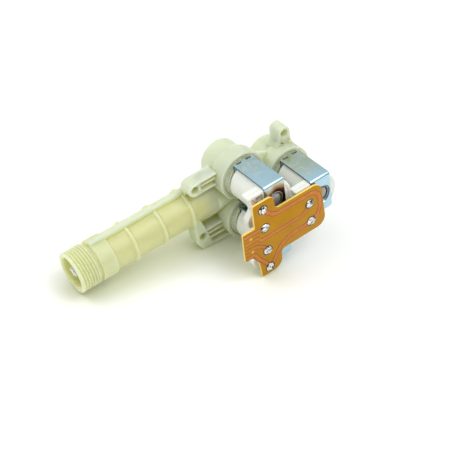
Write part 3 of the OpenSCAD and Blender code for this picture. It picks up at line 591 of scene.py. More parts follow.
def filled_nylon(colour, guide):
    """Nylon 66 with glass fibre, half clear at its moulded skin, with fibre streaks of about 1 mm. The flange is as
    pale as the body. The guide tube's glossy end looks grey, since the steel in it shows through."""
    material, tree, shader, place = begin(
        "nylon_66_glass_filled", Roughness=0.18, IOR=1.54, Subsurface_Weight=0.6, Subsurface_Scale=0.002,
        Coat_Weight=1.0, Coat_Roughness=0.04)
    fibre = add(tree, "ShaderNodeTexNoise", {"Scale": 700.0, "Detail": 4.0, "Distortion": 1.5}, {"Vector": place})
    depth = add(tree, "ShaderNodeSeparateXYZ", links={0: place}).outputs["Y"]
    base = mixed(tree, spread(tree, depth, -0.022, -0.03), colour, guide)
    streaks = ramp(tree, fibre.outputs["Fac"], [(0.3, grey(0.72)), (0.7, grey(1.0))])
    tone = add(tree, "ShaderNodeMix", {"data_type": "RGBA", "blend_type": "MULTIPLY", 0: 1.0}, {6: base, 7: streaks})
    tree.links.new(tone.outputs[2], shader.inputs["Base Color"])
    relief(tree, shader, fibre.outputs["Fac"], 0.00005, 0.4, rounded=0.0003)
    return material


def plain_metal(name, code, rough, streak=(1.0, 1.0, 1.0), scale=900.0):
    """Turned, rolled or drawn metal: its tool marks are the stretched noise, its tone the clouded colour."""
    material, tree, shader, place = begin(name, Metallic=1.0, Roughness=rough)
    stretch = add(tree, "ShaderNodeMapping", {"Scale": streak}, {"Vector": place})
    marks = add(tree, "ShaderNodeTexNoise", {"Scale": scale, "Detail": 3.0}, {"Vector": stretch.outputs["Vector"]})
    tone = ramp(tree, marks.outputs["Fac"], [(0.3, shaded(linear(code), 0.8)), (0.7, linear(code))])
    tree.links.new(tone, shader.inputs["Base Color"])
    relief(tree, shader, marks.outputs["Fac"], 0.00003, 0.5)
    return material


def plain_moulding(name, colour, rough, scale=800.0):
    """Moulded plastic or rubber that is hardly seen: its tone clouds slowly and its skin has a fine grain."""
    material, tree, shader, place = begin(name, Roughness=rough)
    grain = add(tree, "ShaderNodeTexNoise", {"Scale": scale, "Detail": 3.0}, {"Vector": place})
    tone = ramp(tree, grain.outputs["Fac"], [(0.3, shaded(colour, 0.85)), (0.7, colour)])
    tree.links.new(tone, shader.inputs["Base Color"])
    relief(tree, shader, grain.outputs["Fac"], 0.00005, 0.5)
    return material


def table_top(colour):
    """White acrylic of a light table, lit a little from below, with the faintest grain. Close to the tube, where an
    occlusion mask finds it shaded, it takes a painted shadow in the straw colour of the light that comes through
    the nylon."""
    material, tree, shader, place = begin("table_lit_acrylic", Roughness=0.75, Emission_Strength=0.062)
    shader.inputs["Emission Color"].default_value = (0.97, 1.0, 0.84, 1)
    grain = add(tree, "ShaderNodeTexNoise", {"Scale": 60.0, "Detail": 2.0}, {"Vector": place})
    tone = ramp(tree, grain.outputs["Fac"], [(0.3, shaded(colour, 0.985)), (0.7, colour)])
    # Painted shadow: occlusion close to the tube mixes in a straw tone.
    open_sky = add(tree, "ShaderNodeAmbientOcclusion", {"samples": 8, "Distance": 0.03}).outputs["AO"]
    along = add(tree, "ShaderNodeSeparateXYZ", links={0: place}).outputs["X"]
    under = add(tree, "ShaderNodeMath", {"operation": "MULTIPLY"},
                {0: spread(tree, open_sky, 1.0, 0.4, 0.0, 0.85), 1: spread(tree, along, 0.125, 0.095)})
    tree.links.new(mixed(tree, under.outputs["Value"], tone, linear("#D8DBBC")), shader.inputs["Base Color"])
    return material


# Nylon body


def eased(v, low, high):
    """0 below low, 1 above high and a smooth cubic between them."""
    t = np.clip((v - low) / (high - low), 0, 1)
    return t * t * (3 - 2 * t)


def threaded_tube(s):
    """Outer skin of the inlet tube as a radius over place and angle. The thread is a helix: from its crest the radius
    drops by the depth times exp(-(d / 0.4)^2), d being the distance to the nearest turn of a line that advances by
    one pitch a turn. Ring ribs with soft feet come from a soft maximum, log(sum of exp(k r)) / k, of tube and beads."""
    around = s.around
    pitch, depth, crest = mm(s.pitch), mm(s.thread_depth), mm(s.thread)
    root = crest - depth
    rings = (38.9, 59.3, 79.7)
    x = np.unique(np.round(np.concatenate([
        0.9 - 0.9 * np.cos(np.linspace(0, np.pi / 2, 7)), np.arange(0.9, 12.6, 0.12), np.arange(12.6, 15.8, 0.1),
        [18, 21, 23.6], np.arange(24.2, 26.4, 0.12), np.arange(28, 106, 2.4),
        *[np.arange(c - 2.8, c + 2.9, 0.2) for c in rings], 107 - 7 * np.cos(np.linspace(0, np.pi / 2, 9))]), 3))
    x = x[x <= 107]
    t = np.linspace(0, 2 * np.pi, around, endpoint=False)
    X, T = np.meshgrid(x, t, indexing="ij")
    phase = (X - 1.35) / pitch - T / (2 * np.pi)
    aside = (phase - np.round(phase)) * pitch
    r = crest - depth * np.exp(-(aside / 0.4) ** 2) * eased(X, 0.5, 1.8)
    r = r - 0.9 * (1 - np.sqrt(np.clip(1 - np.clip(1 - X / 0.9, 0, 1) ** 2, 0, 1)))
    r = r + (root - 0.1 - r) * eased(X, 12.3, 12.9)
    r = r + (mm(s.collar) - r) * eased(X, 14.5, 15.0)
    r = r + (mm(s.tube) - mm(s.collar)) * eased(X, 24.6, 25.4)
    k = 4.0
    beads = [mm(s.tube) + 1.15 - 0.55 * (X - c) ** 2 for c in rings]
    softened = np.log(sum(np.exp(k * (b - 12)) for b in [r, *[np.maximum(b, 9) for b in beads]])) / k + 12
    r = np.where(X > 30, softened, r)
    r = np.where(X > 100, r - 7 * (1 - np.sqrt(np.clip(1 - ((X - 100) / 7) ** 2, 0, 1))), r)
    points = np.stack([X, r * np.cos(T), r * np.sin(T)], -1).reshape(-1, 3)
    n = len(x)
    faces = grid_faces(n, around).tolist()
    faces += [list(range(around))[::-1], list(range((n - 1) * around, n * around))]
    return points, faces


def chamber(s):
    """Closed profile of a chamber and its outlet before the bores are cut, turned about the valve's axis. Its front
    rim has a rounded outer edge and inside it the fine step of the weld that holds the bonnet."""
    c, o, f = mm(s.chamber), mm(s.outlet), mm(s.front)
    profile = turned([(0.01, -8.8, 0), (o, -8.8, 2.2), (o, 4.6, 2.4), (c - 0.9, 5.6, 0.8), (c, 7.2, 1.2),
                      (c, f, 0.75), (c - 0.8, f, 0.1), (c - 0.85, f - 0.35, 0.1), (c - 1.15, f - 0.35, 0.1),
                      (c - 1.25, f - 0.05, 0.15), (0.01, f - 0.05, 0)], closed=False, step=15)
    return lathe(np.concatenate([profile, [[0.0, f - 0.05], [0.0, -8.8]]]), s.around)


def chamber_bore(s):
    """Front counterbore of a chamber, its mouth rounded outwards."""
    r, f = mm(s.chamber) - 2.6, mm(s.front)
    profile = turned([(0.0, f - 4, 0), (r, f - 4, 0.2), (r, f - 0.75, 0.6), (r + 0.8, f - 0.02, 0),
                      (r + 0.8, f + 2, 0), (0.0, f + 2, 0)], closed=False, step=15)
    return lathe(profile, s.around, closed=False)


def outlet_bore(s):
    """Outlet socket, washer pocket and passage, its mouth rounded outwards."""
    r, edge = mm(s.socket), 2 * mm(s.edge)
    profile = turned([(0.0, -10.5, 0), (r + edge, -10.5, 0), (r + edge, -8.8 - 0.02, 0), (r, -8.8 + edge, edge),
                      (r, 1.2, 0.3), (8.5, 1.2, 0.3), (8.5, 5.2, 0.3), (4.6, 5.2, 0), (4.6, 14, 0), (0.0, 14, 0)],
                     closed=False, step=15)
    return lathe(profile, s.around, closed=False)


def body_parts():
    """Outlines in x and z of the screw tabs, ribs and webs, each with its depths and edge radius."""
    arc = lambda x, z, r, a, b: [(x + r * math.cos(math.radians(t)), z + r * math.sin(math.radians(t)), 0)
                                 for t in np.linspace(a, b, 25)]
    back, front = 2.0, 11.8
    parts = []
    # Upper left tab: round boss, top plate, two ribs and the wall behind them
    parts.append((arc(84.1, 18.9, 4.5, 90, 270) + [(88.1, 14.4, 1.0), (88.1, 23.4, 0)], back, front, 0.5))
    parts.append(([(83.4, 21.9, 0), (100.4, 21.9, 0.3), (100.4, 23.4, 0.6), (83.4, 23.4, 0)], back, front - 0.05, 0.45))
    parts.append(([(84, 18.7, 0), (102.8, 18.7, 0), (102.8, 20.1, 0), (84, 20.1, 0)], back, front - 0.5, 0.4))
    parts.append(([(84, 14.4, 0), (102.8, 14.4, 0), (102.8, 15.8, 0), (84, 15.8, 0)], back, front - 0.2, 0.4))
    parts.append(([(84, 23.2, 0), (100.3, 23.2, 0.5), (102.8, 18.9, 0.5), (102.8, 7, 0), (80.6, 7, 0), (80.6, 18.9, 0)],
                  back, 3.4, 0.3))
    # Side tab: round boss on an arm with a flared foot
    parts.append((arc(151.6, 23.7, 4.5, 0, 180) + [(147.1, 18.9, 3.5), (144.0, 15.3, 0), (144.0, 9, 0), (158.9, 9, 0),
                                                   (158.9, 11.4, 0), (156.1, 16.6, 3.5)], back, front, 0.55))
    # Lower left tab: slanting leg with a foot, ribs and the wall behind them
    parts.append(([(79.3, -3, 0), (79.3, -22.1, 2), (82.7, -27.7, 1.5), (90.5, -27.7, 0.5), (83.6, -3, 0)],
                  back, front, 0.5))
    parts.append(([(84, -27.7, 0), (103.2, -27.7, 0), (103.2, -26.3, 0), (84, -26.3, 0)], back, front - 0.05, 0.4))
    for z in (-15.7, -18.9, -22.9):
        parts.append(([(86.6, z, 0), (102.8, z, 0), (102.8, z + 1.4, 0), (86.6, z + 1.4, 0)], back, front - 0.3, 0.4))
    parts.append(([(79.4, -3, 0), (79.4, -22.1, 2), (82.8, -27.6, 1.5), (103.2, -27.6, 0), (103.2, -3, 0)], back, 3.4, 0.3))
    # Web between the chambers
    parts.append(([(106.5, 15.7, 0), (116.5, 24.7, 0), (147.8, 11, 0), (147.8, -11, 0), (116.5, -24.7, 0),
                   (106.5, -15.7, 0)], 6.2, 8.2, 0.3))
    return parts


def nylon_body(s):
    """The whole moulding: every form joined to the tube, then every bore cut."""
    base = solid("nylon_body", threaded_tube(s))
    joined = []
    rib = turned([(-2.4, 8, 0), (2.4, 8, 0), (2.4, 15.0, 2.25), (-2.4, 15.0, 2.25)], step=15)
    ends = lambda p: np.stack([p[:, 2], -p[:, 0], p[:, 1]], 1)
    joined.append(solid("rib", slab(rib, 14.9, 80.8, 0.9, 4), place=ends))
    for name in VALVES:
        joined.append(solid("chamber", chamber(s), place=at_valve(name)))
    duct = turned([(0.0, 97.9, 0), (5.5, 97.9, 1.5), (5.5, 135, 0), (0.0, 135, 0)], closed=False)
    joined.append(solid("duct", lathe(duct, 64, closed=False),
                        place=lambda p: np.stack([p[:, 2], p[:, 0] - 8.0, p[:, 1]], 1)))
    for outline, low, high, edge in body_parts():
        joined.append(solid("form", slab(turned(outline), low, high, edge), place=facing))
    combine(base, joined, "UNION")
    cuts = []
    mouth = turned([(0.0, -1, 0), (mm(s.mouth) + 0.9, -1, 0), (mm(s.mouth) + 0.9, -0.02, 0),
                    (mm(s.mouth), 0.9, 0.8), (mm(s.mouth), 18, 0), (9.3, 18, 0), (9.3, 100, 2), (0.0, 100, 0)],
                   closed=False, step=15)
    cuts.append(solid("mouth", lathe(mouth, s.around, closed=False), place=along_tube))
    for name in VALVES:
        cuts.append(solid("front", chamber_bore(s), place=at_valve(name)))
        cuts.append(solid("socket", outlet_bore(s), place=at_valve(name)))
    for x, z in ((84.1, 18.9), (84.1, -18.0), (151.6, 23.7)):
        hole = turned([(0.0, 0, 0), (2.5, 0, 0), (2.5, 11.3, 0.4), (3.1, 11.85, 0), (3.1, 14, 0), (0.0, 14, 0)],
                      closed=False)
        cuts.append(solid("screw", lathe(hole, 40, closed=False),
                          place=lambda p, x=x, z=z: np.stack([x + p[:, 0], -p[:, 2], z + p[:, 1]], 1)))
    for side in (-1, 1):
        corner = turned([(151.6 + side * 0.6, 16.4, 0.3), (151.6 + side * 3.5, 16.4, 0.3),
                         (151.6 + side * 3.5, 18.8, 0.3)])
        cuts.append(solid("core", slab(corner, 3.4, 14, 0.1), place=facing))
    combine(base, cuts, "DIFFERENCE")
    shade(base, 34)
    return base


# Coils


def coil_drum(s):
    """Overmoulded bobbin: circles with flats under the yoke's legs, so y is held within the flat's height, at
    stations along w that round both ends and set the front cheek off by a shallow step."""
    r, flat, back = mm(s.radius), mm(s.flat), mm(s.back)
    t = np.linspace(0, 2 * np.pi, 144, endpoint=False)
    profile = turned([(6.3, back, 0), (r - 0.15, back, 1.1), (r - 0.15, back + 2.2, 0.3), (r - 0.3, back + 2.4, 0.3),
                      (r - 0.3, 43.9, 0.2), (r - 0.5, 44.7, 0.2), (r, 45.0, 0.25),
                      (r, 47.5, 0.9), (10.6, 47.5, 0.2), (10.4, 47.2, 0.2), (9.8, 47.2, 0.2), (9.6, 47.5, 0.2),
                      (6.3, 47.5, 0.35)], closed=False, step=20)
    radius, w = profile.T
    x = radius[:, None] * np.cos(t)
    y = radius[:, None] * np.sin(t)
    hold = np.minimum(flat, radius * 0.985)[:, None]
    y = np.clip(y, -hold, hold)
    outer = np.stack([x, y, np.repeat(w[:, None], len(t), 1)], -1)
    bore = np.stack([6.2 * np.cos(t), 6.2 * np.sin(t)], -1)
    inner = np.stack([np.c_[bore, np.full(len(t), h)] for h in (47.3, back + 0.2)])
    points = np.concatenate([outer, inner])
    return points.reshape(-1, 3), grid_faces(len(points), len(t), wrap_rows=True).tolist()


def terminal_block():
    """Outline of the block that carries a coil's two pins: straight top with a bar, waisted side, lower lobe."""
    return turned([(-5.5, 12.2, 0), (-18.6, 12.2, 0.6), (-18.6, 10.6, 0.5), (-17.0, 9.8, 0.6), (-16.2, 2.8, 2),
                   (-15.6, -0.2, 0.8), (-19.7, -5.4, 2.6), (-19.7, -10.4, 1.5), (-16.0, -11, 0.6), (-15.6, -14, 0.8),
                   (-7.5, -14, 0.8), (-7.5, -8.5, 0), (-5.5, -8.5, 0)], step=18)


def coil_piece(s, name):
    """A coil: the drum joined to its terminal block, with the block's pockets cut open."""
    place = at_valve(name)
    base = solid(name + "_bobbin_cover", slab(terminal_block(), 42.3, 48.7, 0.45), place=place)
    side = mm(s.strip) / 2 + 0.25
    cuts = []
    room = turned([(-side, 30, 0), (20, 30, 0), (20, -30, 0), (-side, -30, 0)])
    cuts.append(solid("room", slab(room, 47.45, 50, 0.01, 1), place=place))
    upper = turned([(-13.5, 10.3, 0.4), (-8.3, 10.3, 0.4), (-8.3, 4.9, 0.4), (-13.5, 4.9, 0.4)])
    lower = turned([(-13.5, 1.3, 0.4), (-8.3, 1.3, 0.4), (-8.3, -8.7, 0.4), (-13.5, -8.7, 0.4)])
    shelf = turned([(-21.5, 10.3, 0), (-16.7, 10.3, 0.3), (-16.7, -12.6, 0.3), (-21.5, -12.6, 0)])
    cuts.append(solid("pocket", slab(upper, 44.4, 50, 0.2), place=place))
    cuts.append(solid("pocket", slab(lower, 44.4, 50, 0.2), place=place))
    cuts.append(solid("shelf", slab(shelf, 47.1, 50, 0.1), place=place))
    line = turned([(-17.6, 13, 0), (-9.4, 13, 0), (-9.4, 11.95, 0.1), (-17.6, 11.95, 0.1)])
    cuts.append(solid("line", slab(line, 46.0, 46.4, 0.05), place=place))
    combine(base, cuts, "DIFFERENCE")
    drum = solid("drum", coil_drum(s), place=place)
    combine(base, [drum], "UNION")
    shade(base, 34)
    return base


def yoke_piece(s, name):
    """A yoke: the strip's folded section carried across its width, with a hole, notches and clipped lower corners."""
    place = at_valve(name)
    half, t, bend, wide = mm(s.height) / 2, mm(s.steel), mm(s.bend), mm(s.strip) / 2
    front, back = 48.95, mm(s.plate)
    section = turned([(back, half, 0), (front, half, bend), (front, -half, bend), (back, -half, 0),
                      (back, t - half, 0), (front - t, t - half, bend - t), (front - t, half - t, bend - t),
                      (back, half - t, 0)], step=9)
    across = lambda p: place(np.stack([p[:, 2], p[:, 1], p[:, 0]], 1))
    base = solid(name + "_yoke_strip", slab(section, -wide, wide, 0.22, 3), place=across)
    cuts = [solid("hole", lathe(turned([(0, 46, 0), (mm(s.hole), 46, 0), (mm(s.hole), 48.55, 0.3),
                                        (mm(s.hole) + 0.4, 48.97, 0), (mm(s.hole) + 0.4, 50, 0), (0, 50, 0)],
                                       closed=False), 96, closed=False), place=place)]
    for x in (-1, 1):
        clip = [(x * 8.4, -15, 0), (x * (wide - 2), -15, 0), (x * (wide - 2), -half, 0), (x * wide, 2.8 - half, 0),
                (x * 8.4, 2.8 - half, 0)]
        cuts.append(solid("clip", slab(turned(clip), front - bend, 51, 0.01, 1), place=place))
        for up in (-1, 1):
            low, high = sorted((up * (half + 1), up * (half - t - 0.5)))
            notch = turned([(x * 3.5 - 1.85, low, 0), (x * 3.5 + 1.85, low, 0), (x * 3.5 + 1.85, high, 0),
                            (x * 3.5 - 1.85, high, 0)])
            cuts.append(solid("notch", slab(notch, back - 1, back + t + 0.2, 0.3, 2), place=place))
    combine(base, cuts, "DIFFERENCE")
    shade(base, 30)
    return base


def flux_piece(s, name):
    """A flux plate: a blank between the yoke's legs, with a staked lug in each notch and a hole for the guide tube.
    A lug's end is upset by the staking punch, so it swells a little to both sides and has a dent along its middle."""
    place = at_valve(name)
    half, t, wide, back = mm(s.height) / 2, mm(s.steel), mm(s.strip) / 2, mm(s.plate)
    inner, lug = half - t - 0.05, half - 0.32
    corners = [(-wide, -inner, 0.3), (wide, -inner, 0.3), (wide, inner, 0.3), (-wide, inner, 0.3)]
    base = solid(name + "_flux_blank", slab(turned(corners), back, back + t - 0.05, 0.15, 2), place=place)
    forms = []
    for x in (-3.5, 3.5):
        tooth = [(x - 1.7, -lug, 0.3), (x + 1.7, -lug, 0.3), (x + 1.7, lug, 0.3), (x - 1.7, lug, 0.3)]
        forms.append(solid("lug", slab(turned(tooth), back, back + t - 0.05, 0.12, 2), place=place))
    combine(base, forms, "UNION")
    cuts = [solid("hole", lathe([(0, 17), (mm(s.hole), 17), (mm(s.hole), 22), (0, 22)], 96, closed=False), place=place)]
    for up in (-1, 1):
        for x in (-3.5, 3.5):
            low, high = sorted((up * (half + 1), up * (lug - 0.35)))
            dent = turned([(x - 0.9, low, 0), (x + 0.9, low, 0), (x + 0.5, high, 0.2), (x - 0.5, high, 0.2)])
            cuts.append(solid("dent", slab(dent, back + 0.4, back + 0.85, 0.05, 1), place=place))
    combine(base, cuts, "DIFFERENCE")
    shade(base, 30)
    return base


def bonnet_piece(name):
    """Bonnet: flange, shoulder and guide tube as one turned skin, the tube's end a shallow dome."""
    profile = turned([(9.5, 15.3, 0), (13.25, 15.3, 0), (13.25, 17.45, 0.5), (11.9, 17.45, 0.3), (11.7, 17.8, 0.2),
                      (11.7, 19.4, 0.7), (5.2, 19.4, 0.4), (5.2, 47.6, 2.2), (3.0, 48.4, 3), (0.0, 48.4, 0)],
                     closed=False, step=9)
    inside = turned([(0.0, 46.5, 0), (4.1, 46.5, 0.8), (4.1, 17.9, 0.3), (9.5, 17.9, 0.3), (9.5, 15.3, 0)],
                    closed=False, step=20)
    return solid(name + "_bonnet_moulding", lathe(np.concatenate([profile, inside[:-1]]), 96), place=at_valve(name))


def sleeve_piece(name):
    """Front sleeve: a rolled tube whose visible lip stands just behind the yoke's face."""
    profile = turned([(5.35, 36.6, 0), (6.1, 36.6, 0), (6.1, 48.2, 0.25), (5.35, 48.2, 0.25)], step=30)
    return solid(name + "_sleeve_tube", lathe(profile, 96), place=at_valve(name))


def wire_end():
    """Loose end of the upper coil's wire where it leaves its pocket towards the upper pin: a spline through five
    points, evaluated as a Catmull-Rom curve."""
    p = np.array([(-16.3, 10.1, 48.9), (-15.9, 10.5, 49.4), (-14.9, 9.3, 49.7), (-13.8, 7.7, 49.7), (-12.9, 6.2, 50.2),
                  (-12.4, 4.9, 50.9), (-12.45, 3.4, 51.2)])
    p = np.concatenate([[2 * p[0] - p[1]], p, [2 * p[-1] - p[-2]]])
    t = np.linspace(0, 1, 7)[:, None]
    out = [0.5 * (2 * b + (c - a) * t + (2 * a - 5 * b + 4 * c - d) * t ** 2 + (3 * b - a - 3 * c + d) * t ** 3)
           for a, b, c, d in zip(p, p[1:], p[2:], p[3:])]
    path = np.concatenate([o[:-1] for o in out] + [out[-1][-1:]])
    return solid("upper_wire_end", tube_along(path, 0.24), place=at_valve("upper"))


def spring_piece(name):
    """Plunger spring: round wire of 0.5 mm on a helix of radius 2.35 mm. Over its two end turns it climbs by one wire
    each, and over the six turns between them evenly, from 35.2 to 46.2 mm in front of the tube axis."""
    turn = np.linspace(0, 8, 193)
    w = 35.2 + np.interp(turn, [0, 1, 7, 8], [0, 0.5, 10.5, 11.0])
    path = np.stack([2.35 * np.cos(2 * np.pi * turn), 2.35 * np.sin(2 * np.pi * turn), w], 1)
    return solid(name + "_spring_wire", tube_along(path, 0.25, 12), place=at_valve(name))


# Circuit board

BOARD = [(-19.1, 25, 1.5), (-4.1, 25, 4), (-3.6, 14.4, 3), (30.4, 14.3, 6.5), (31.7, -18.3, 6.5), (-2.6, -18.3, 3),
         (-3.5, -30.8, 6.5), (-18.5, -30.8, 1.2), (-19.4, -18.6, 1.5), (-23.8, -12, 1.5), (-28.9, -11.6, 0.6),
         (-28.4, 8.6, 0.6), (-19.4, 8.5, 0.8)]


def pads():
    """Centres of the soldering pads in x and z, two for each valve."""
    return [(x + a, z + b) for x, z in VALVES.values() for a, b in TERMINALS]


def track_paths(s):
    """Middle line and width of each track, in x from the upper valve's axis and z."""
    a, b, c, d, e, f = [(x - 114.5, z) for x, z in pads()]
    shared = [a, (-9.8, 15.5), (-6.4, 12.2), (-3.3, 10.8), (22, 10.2), (25.4, 9), (27.8, 6.4), (28.7, 2.4),
              (28.2, -3.6), (25.6, -8.4), f, (16, -11.2), (8, -11.1), (2, -12.4), (-2.4, -14.8), (-5.8, -18.4),
              (-9.1, -23.9), d]
    narrow = [[d, (-14.4, -22), (-19.4, -15.4), (-21.7, -10.4), (-27.9, -10)],
              [e, (17.6, -0.2), (14.6, -2.4), (-16.3, -2.5), (-18.6, 0.5), (-27.9, 0.6)],
              [b, (-16.3, 5.7), (-27.9, 5.9)],
              [c, (-15.4, -8.1), (-19.9, -5.3), (-27.9, -4.7)]]
    return [(shared, mm(s.shared))] + [(p, mm(s.track)) for p in narrow]


def ribbon(path, width, low, high, edge):
    """Strip along a path: the path's corners are turned, and each point is moved by half the width along the mean
    normal of its two sides, once to the left and once to the right."""
    p = turned([(x, z, 2.0) for x, z in path], closed=False, step=12) + [114.5, 0]
    side = np.diff(p, axis=0)
    side /= np.linalg.norm(side, axis=1)[:, None]
    normal = np.stack([-side[:, 1], side[:, 0]], 1)
    before, after = np.r_[normal[:1], normal], np.r_[normal, normal[-1:]]
    mean = before + after
    mean /= np.linalg.norm(mean, axis=1)[:, None]
    shift = mean * (width / 2 / np.sum(mean * before, 1))[:, None]
    return slab(np.concatenate([p + shift, (p - shift)[::-1]]), low, high, edge, 1)


def disc(x, z, r, low, high, edge, around=40):
    """Round pad at (x, z)."""
    t = np.linspace(0, 2 * np.pi, around, endpoint=False)
    return slab(np.stack([x + r * np.cos(t), z + r * np.sin(t)], 1), low, high, edge, 1)


def board_piece(s):
    """Punched laminate with its two tooling holes."""
    front = mm(s.front)
    outline = turned([(x + 114.5, z, r) for x, z, r in BOARD], step=9)
    base = solid("board_laminate", slab(outline, front - mm(s.thickness), front, 0.18, 2), place=facing)
    cuts = [solid("hole", disc(x + 114.5, z, mm(s.tooling), front - 4, front + 2, 0.01, 32), place=facing)
            for x, z in ((-23, 2.7), (-23, -7.1))]
    combine(base, cuts, "DIFFERENCE")
    shade(base, 30)
    return base


def track_piece(s):
    """Copper strips and pads joined into one relief."""
    front = mm(s.front)
    shapes = [ribbon(p, w, front - 0.05, front + 0.1, 0.05) for p, w in track_paths(s)]
    shapes += [disc(x, z, mm(s.pad), front - 0.05, front + 0.1, 0.05) for x, z in pads()]
    things = [solid("track", shape, place=facing) for shape in shapes]
    base = combine(things[0], things[1:], "UNION")
    base.name = "copper_relief"
    shade(base, 30)
    return base


def shadow_line_and_flux_piece(s):
    """Dark line that borders the copper, the lacquer's edge with a painted shadow along it: the same strips, a little
    wider and much lower, and a ring of burnt flux round each joint, its radius the pad's with three harmonics."""
    front = mm(s.front)
    shapes = [ribbon(p, w + 0.62, front - 0.05, front + 0.03, 0.02) for p, w in track_paths(s)]
    t = np.linspace(0, 2 * np.pi, 48, endpoint=False)
    for k, (x, z) in enumerate(pads()):
        r = mm(s.pad) + 0.32 + 0.14 * np.sin(t + 2.4 * k) + 0.08 * np.sin(3 * t + 1.1 * k) + 0.05 * np.sin(5 * t + k)
        shapes.append(slab(np.stack([x + r * np.cos(t), z + r * np.sin(t)], 1), front - 0.05, front + 0.13, 0.02, 1))
    things = [solid("line", shape, place=facing) for shape in shapes]
    base = combine(things[0], things[1:], "UNION")
    base.name = "lacquer_shadow_line_and_flux_rings"
    shade(base, 30)
    return base


def solder_piece(s):
    """Six joints. Each is a meniscus over a radius that wavers with the angle by low harmonics, its height wrinkled
    by three more that fade towards its foot, and its pin's rounded tip stands out of the middle."""
    t = np.linspace(0, 2 * np.pi, 64, endpoint=False)
    low = mm(s.front) + 0.1
    share = np.array([1.0, 0.995, 0.96, 0.9, 0.83, 0.75, 0.66, 0.57, 0.48, 0.39, 0.31, 0.26, 0.23, 0.2, 0.12, 0.02])
    height = np.array([-0.08, 0.1, 0.24, 0.38, 0.53, 0.67, 0.78, 0.86, 0.9, 0.9, 0.86, 0.86, 0.98, 1.06, 1.1, 1.1])
    shapes = []
    for k, (x, z) in enumerate(pads()):
        waver = 0.05 * np.sin(2 * t + 1.7 * k) + 0.04 * np.sin(3 * t + 0.9 * k * k) + 0.02 * np.sin(5 * t + 2.3 * k)
        wrinkle = 0.1 * np.cos(t - 2.1 * k) + 0.08 * np.sin(3 * t + 1.3 * k) + 0.05 * np.sin(7 * t - 0.7 * k)
        r = (mm(s.pad) - 0.12) * share[:, None] * (1 + waver * eased(share, 0.25, 0.9)[:, None])
        w = low + height[:, None] * (1 + wrinkle * eased(share, 0.1, 0.5)[:, None])
        shapes.append(loft(np.stack([x + r * np.cos(t), z + r * np.sin(t), np.minimum(w, low + 1.1)], -1)))
    return solid("solder_menisci", *shapes, place=facing, smooth=60)


def pin_piece(s, name):
    """A coil's two pins: round wire with a chamfered tip that fills the middle of its joint."""
    shapes = []
    for a, b in TERMINALS:
        points, faces = lathe(turned([(0.0, 44.3, 0), (0.55, 44.3, 0), (0.55, 54.2, 0.25), (0.0, 54.2, 0)], closed=False),
                              24, closed=False)
        shapes.append((points + [a, b, 0], faces))
    return solid(name + "_pins", *shapes, place=at_valve(name))


# Operators


class INLETVALVE_OT_body(bpy.types.Operator):
    """Build the nylon moulding"""
    bl_idname = "inletvalve.body"
    bl_label = "Nylon Body"

    def execute(self, context):
        scene = context.scene
        nylon = natural_nylon(tuple(scene.valve_colours.nylon), tuple(scene.valve_colours.thin))
        finished(nylon_body(scene.valve_body), nylon, "nylon", "valve_body")
        basket = frame["nodes"]["inlet_strainer"]
        basket.data.materials.clear()
        basket.data.materials.append(plain_moulding("polypropylene_white", linear("#F4F5F0"), 0.4))
        return {"FINISHED"}


class INLETVALVE_OT_coils(bpy.types.Operator):
    """Build the coils with their terminal blocks"""
    bl_idname = "inletvalve.coils"
    bl_label = "Coils"

    def execute(self, context):
        scene = context.scene
        white = white_polyester(tuple(scene.valve_colours.coil))
        for name in VALVES:
            finished(coil_piece(scene.valve_coil, name), white, "coil_plastic", name + "_coil")
        finished(wire_end(), plain_metal("copper_wire_enamelled", "#D9A352", 0.3), "copper_wire")
        return {"FINISHED"}


class INLETVALVE_OT_steel(bpy.types.Operator):
    """Build the yokes, the flux plates and the sleeves"""
    bl_idname = "inletvalve.steel"
    bl_label = "Yokes and Plates"

    def execute(self, context):
        scene = context.scene
        colour, reflected_grey = tuple(scene.valve_colours.zinc), tuple(scene.valve_colours.zinc_reflected_grey)
        x, z = VALVES["upper"]
        # Painted reflection: the upper and lower yokes take half of the grey-green at their backs, the side yoke all of
        # it.
        between = tuple((a + b) / 2 for a, b in zip(colour, reflected_grey))
        # The upper yoke's heat stain holds a painted reflection of the amber board in its golden tones.
        skins = {"upper": zinc_plate("zinc_plate_heat_stain_and_board_reflection", colour, between, -0.034,
                                     stain=((x + 1.6) / 1000, -0.049, (z + 0.8) / 1000)),
                 "lower": zinc_plate("zinc_plate_blue_passivated", colour, between, -0.03),
                 "side": zinc_plate("zinc_plate_grey_reflection", colour, reflected_grey, -0.04)}
        sheared = sheared_steel(colour)
        dark = plain_metal("steel_rolled_plain", "#B4BBBC", 0.4)
        for name in VALVES:
            finished(yoke_piece(scene.valve_coil, name), skins[name], "zinc_steel", name + "_yoke")
            finished(flux_piece(scene.valve_coil, name), sheared, "zinc_steel", name + "_flux_plate")
            finished(sleeve_piece(name), dark, "sleeve_steel", name + "_front_sleeve")
        return {"FINISHED"}


class INLETVALVE_OT_bonnets(bpy.types.Operator):
    """Build the bonnets with their guide tubes"""
    bl_idname = "inletvalve.bonnets"
    bl_label = "Bonnets"

    def execute(self, context):
        colours = context.scene.valve_colours
        material = filled_nylon(tuple(colours.bonnet), tuple(colours.guide))
        for name in VALVES:
            finished(bonnet_piece(name), material, "bonnet_plastic", name + "_bonnet")
        return {"FINISHED"}


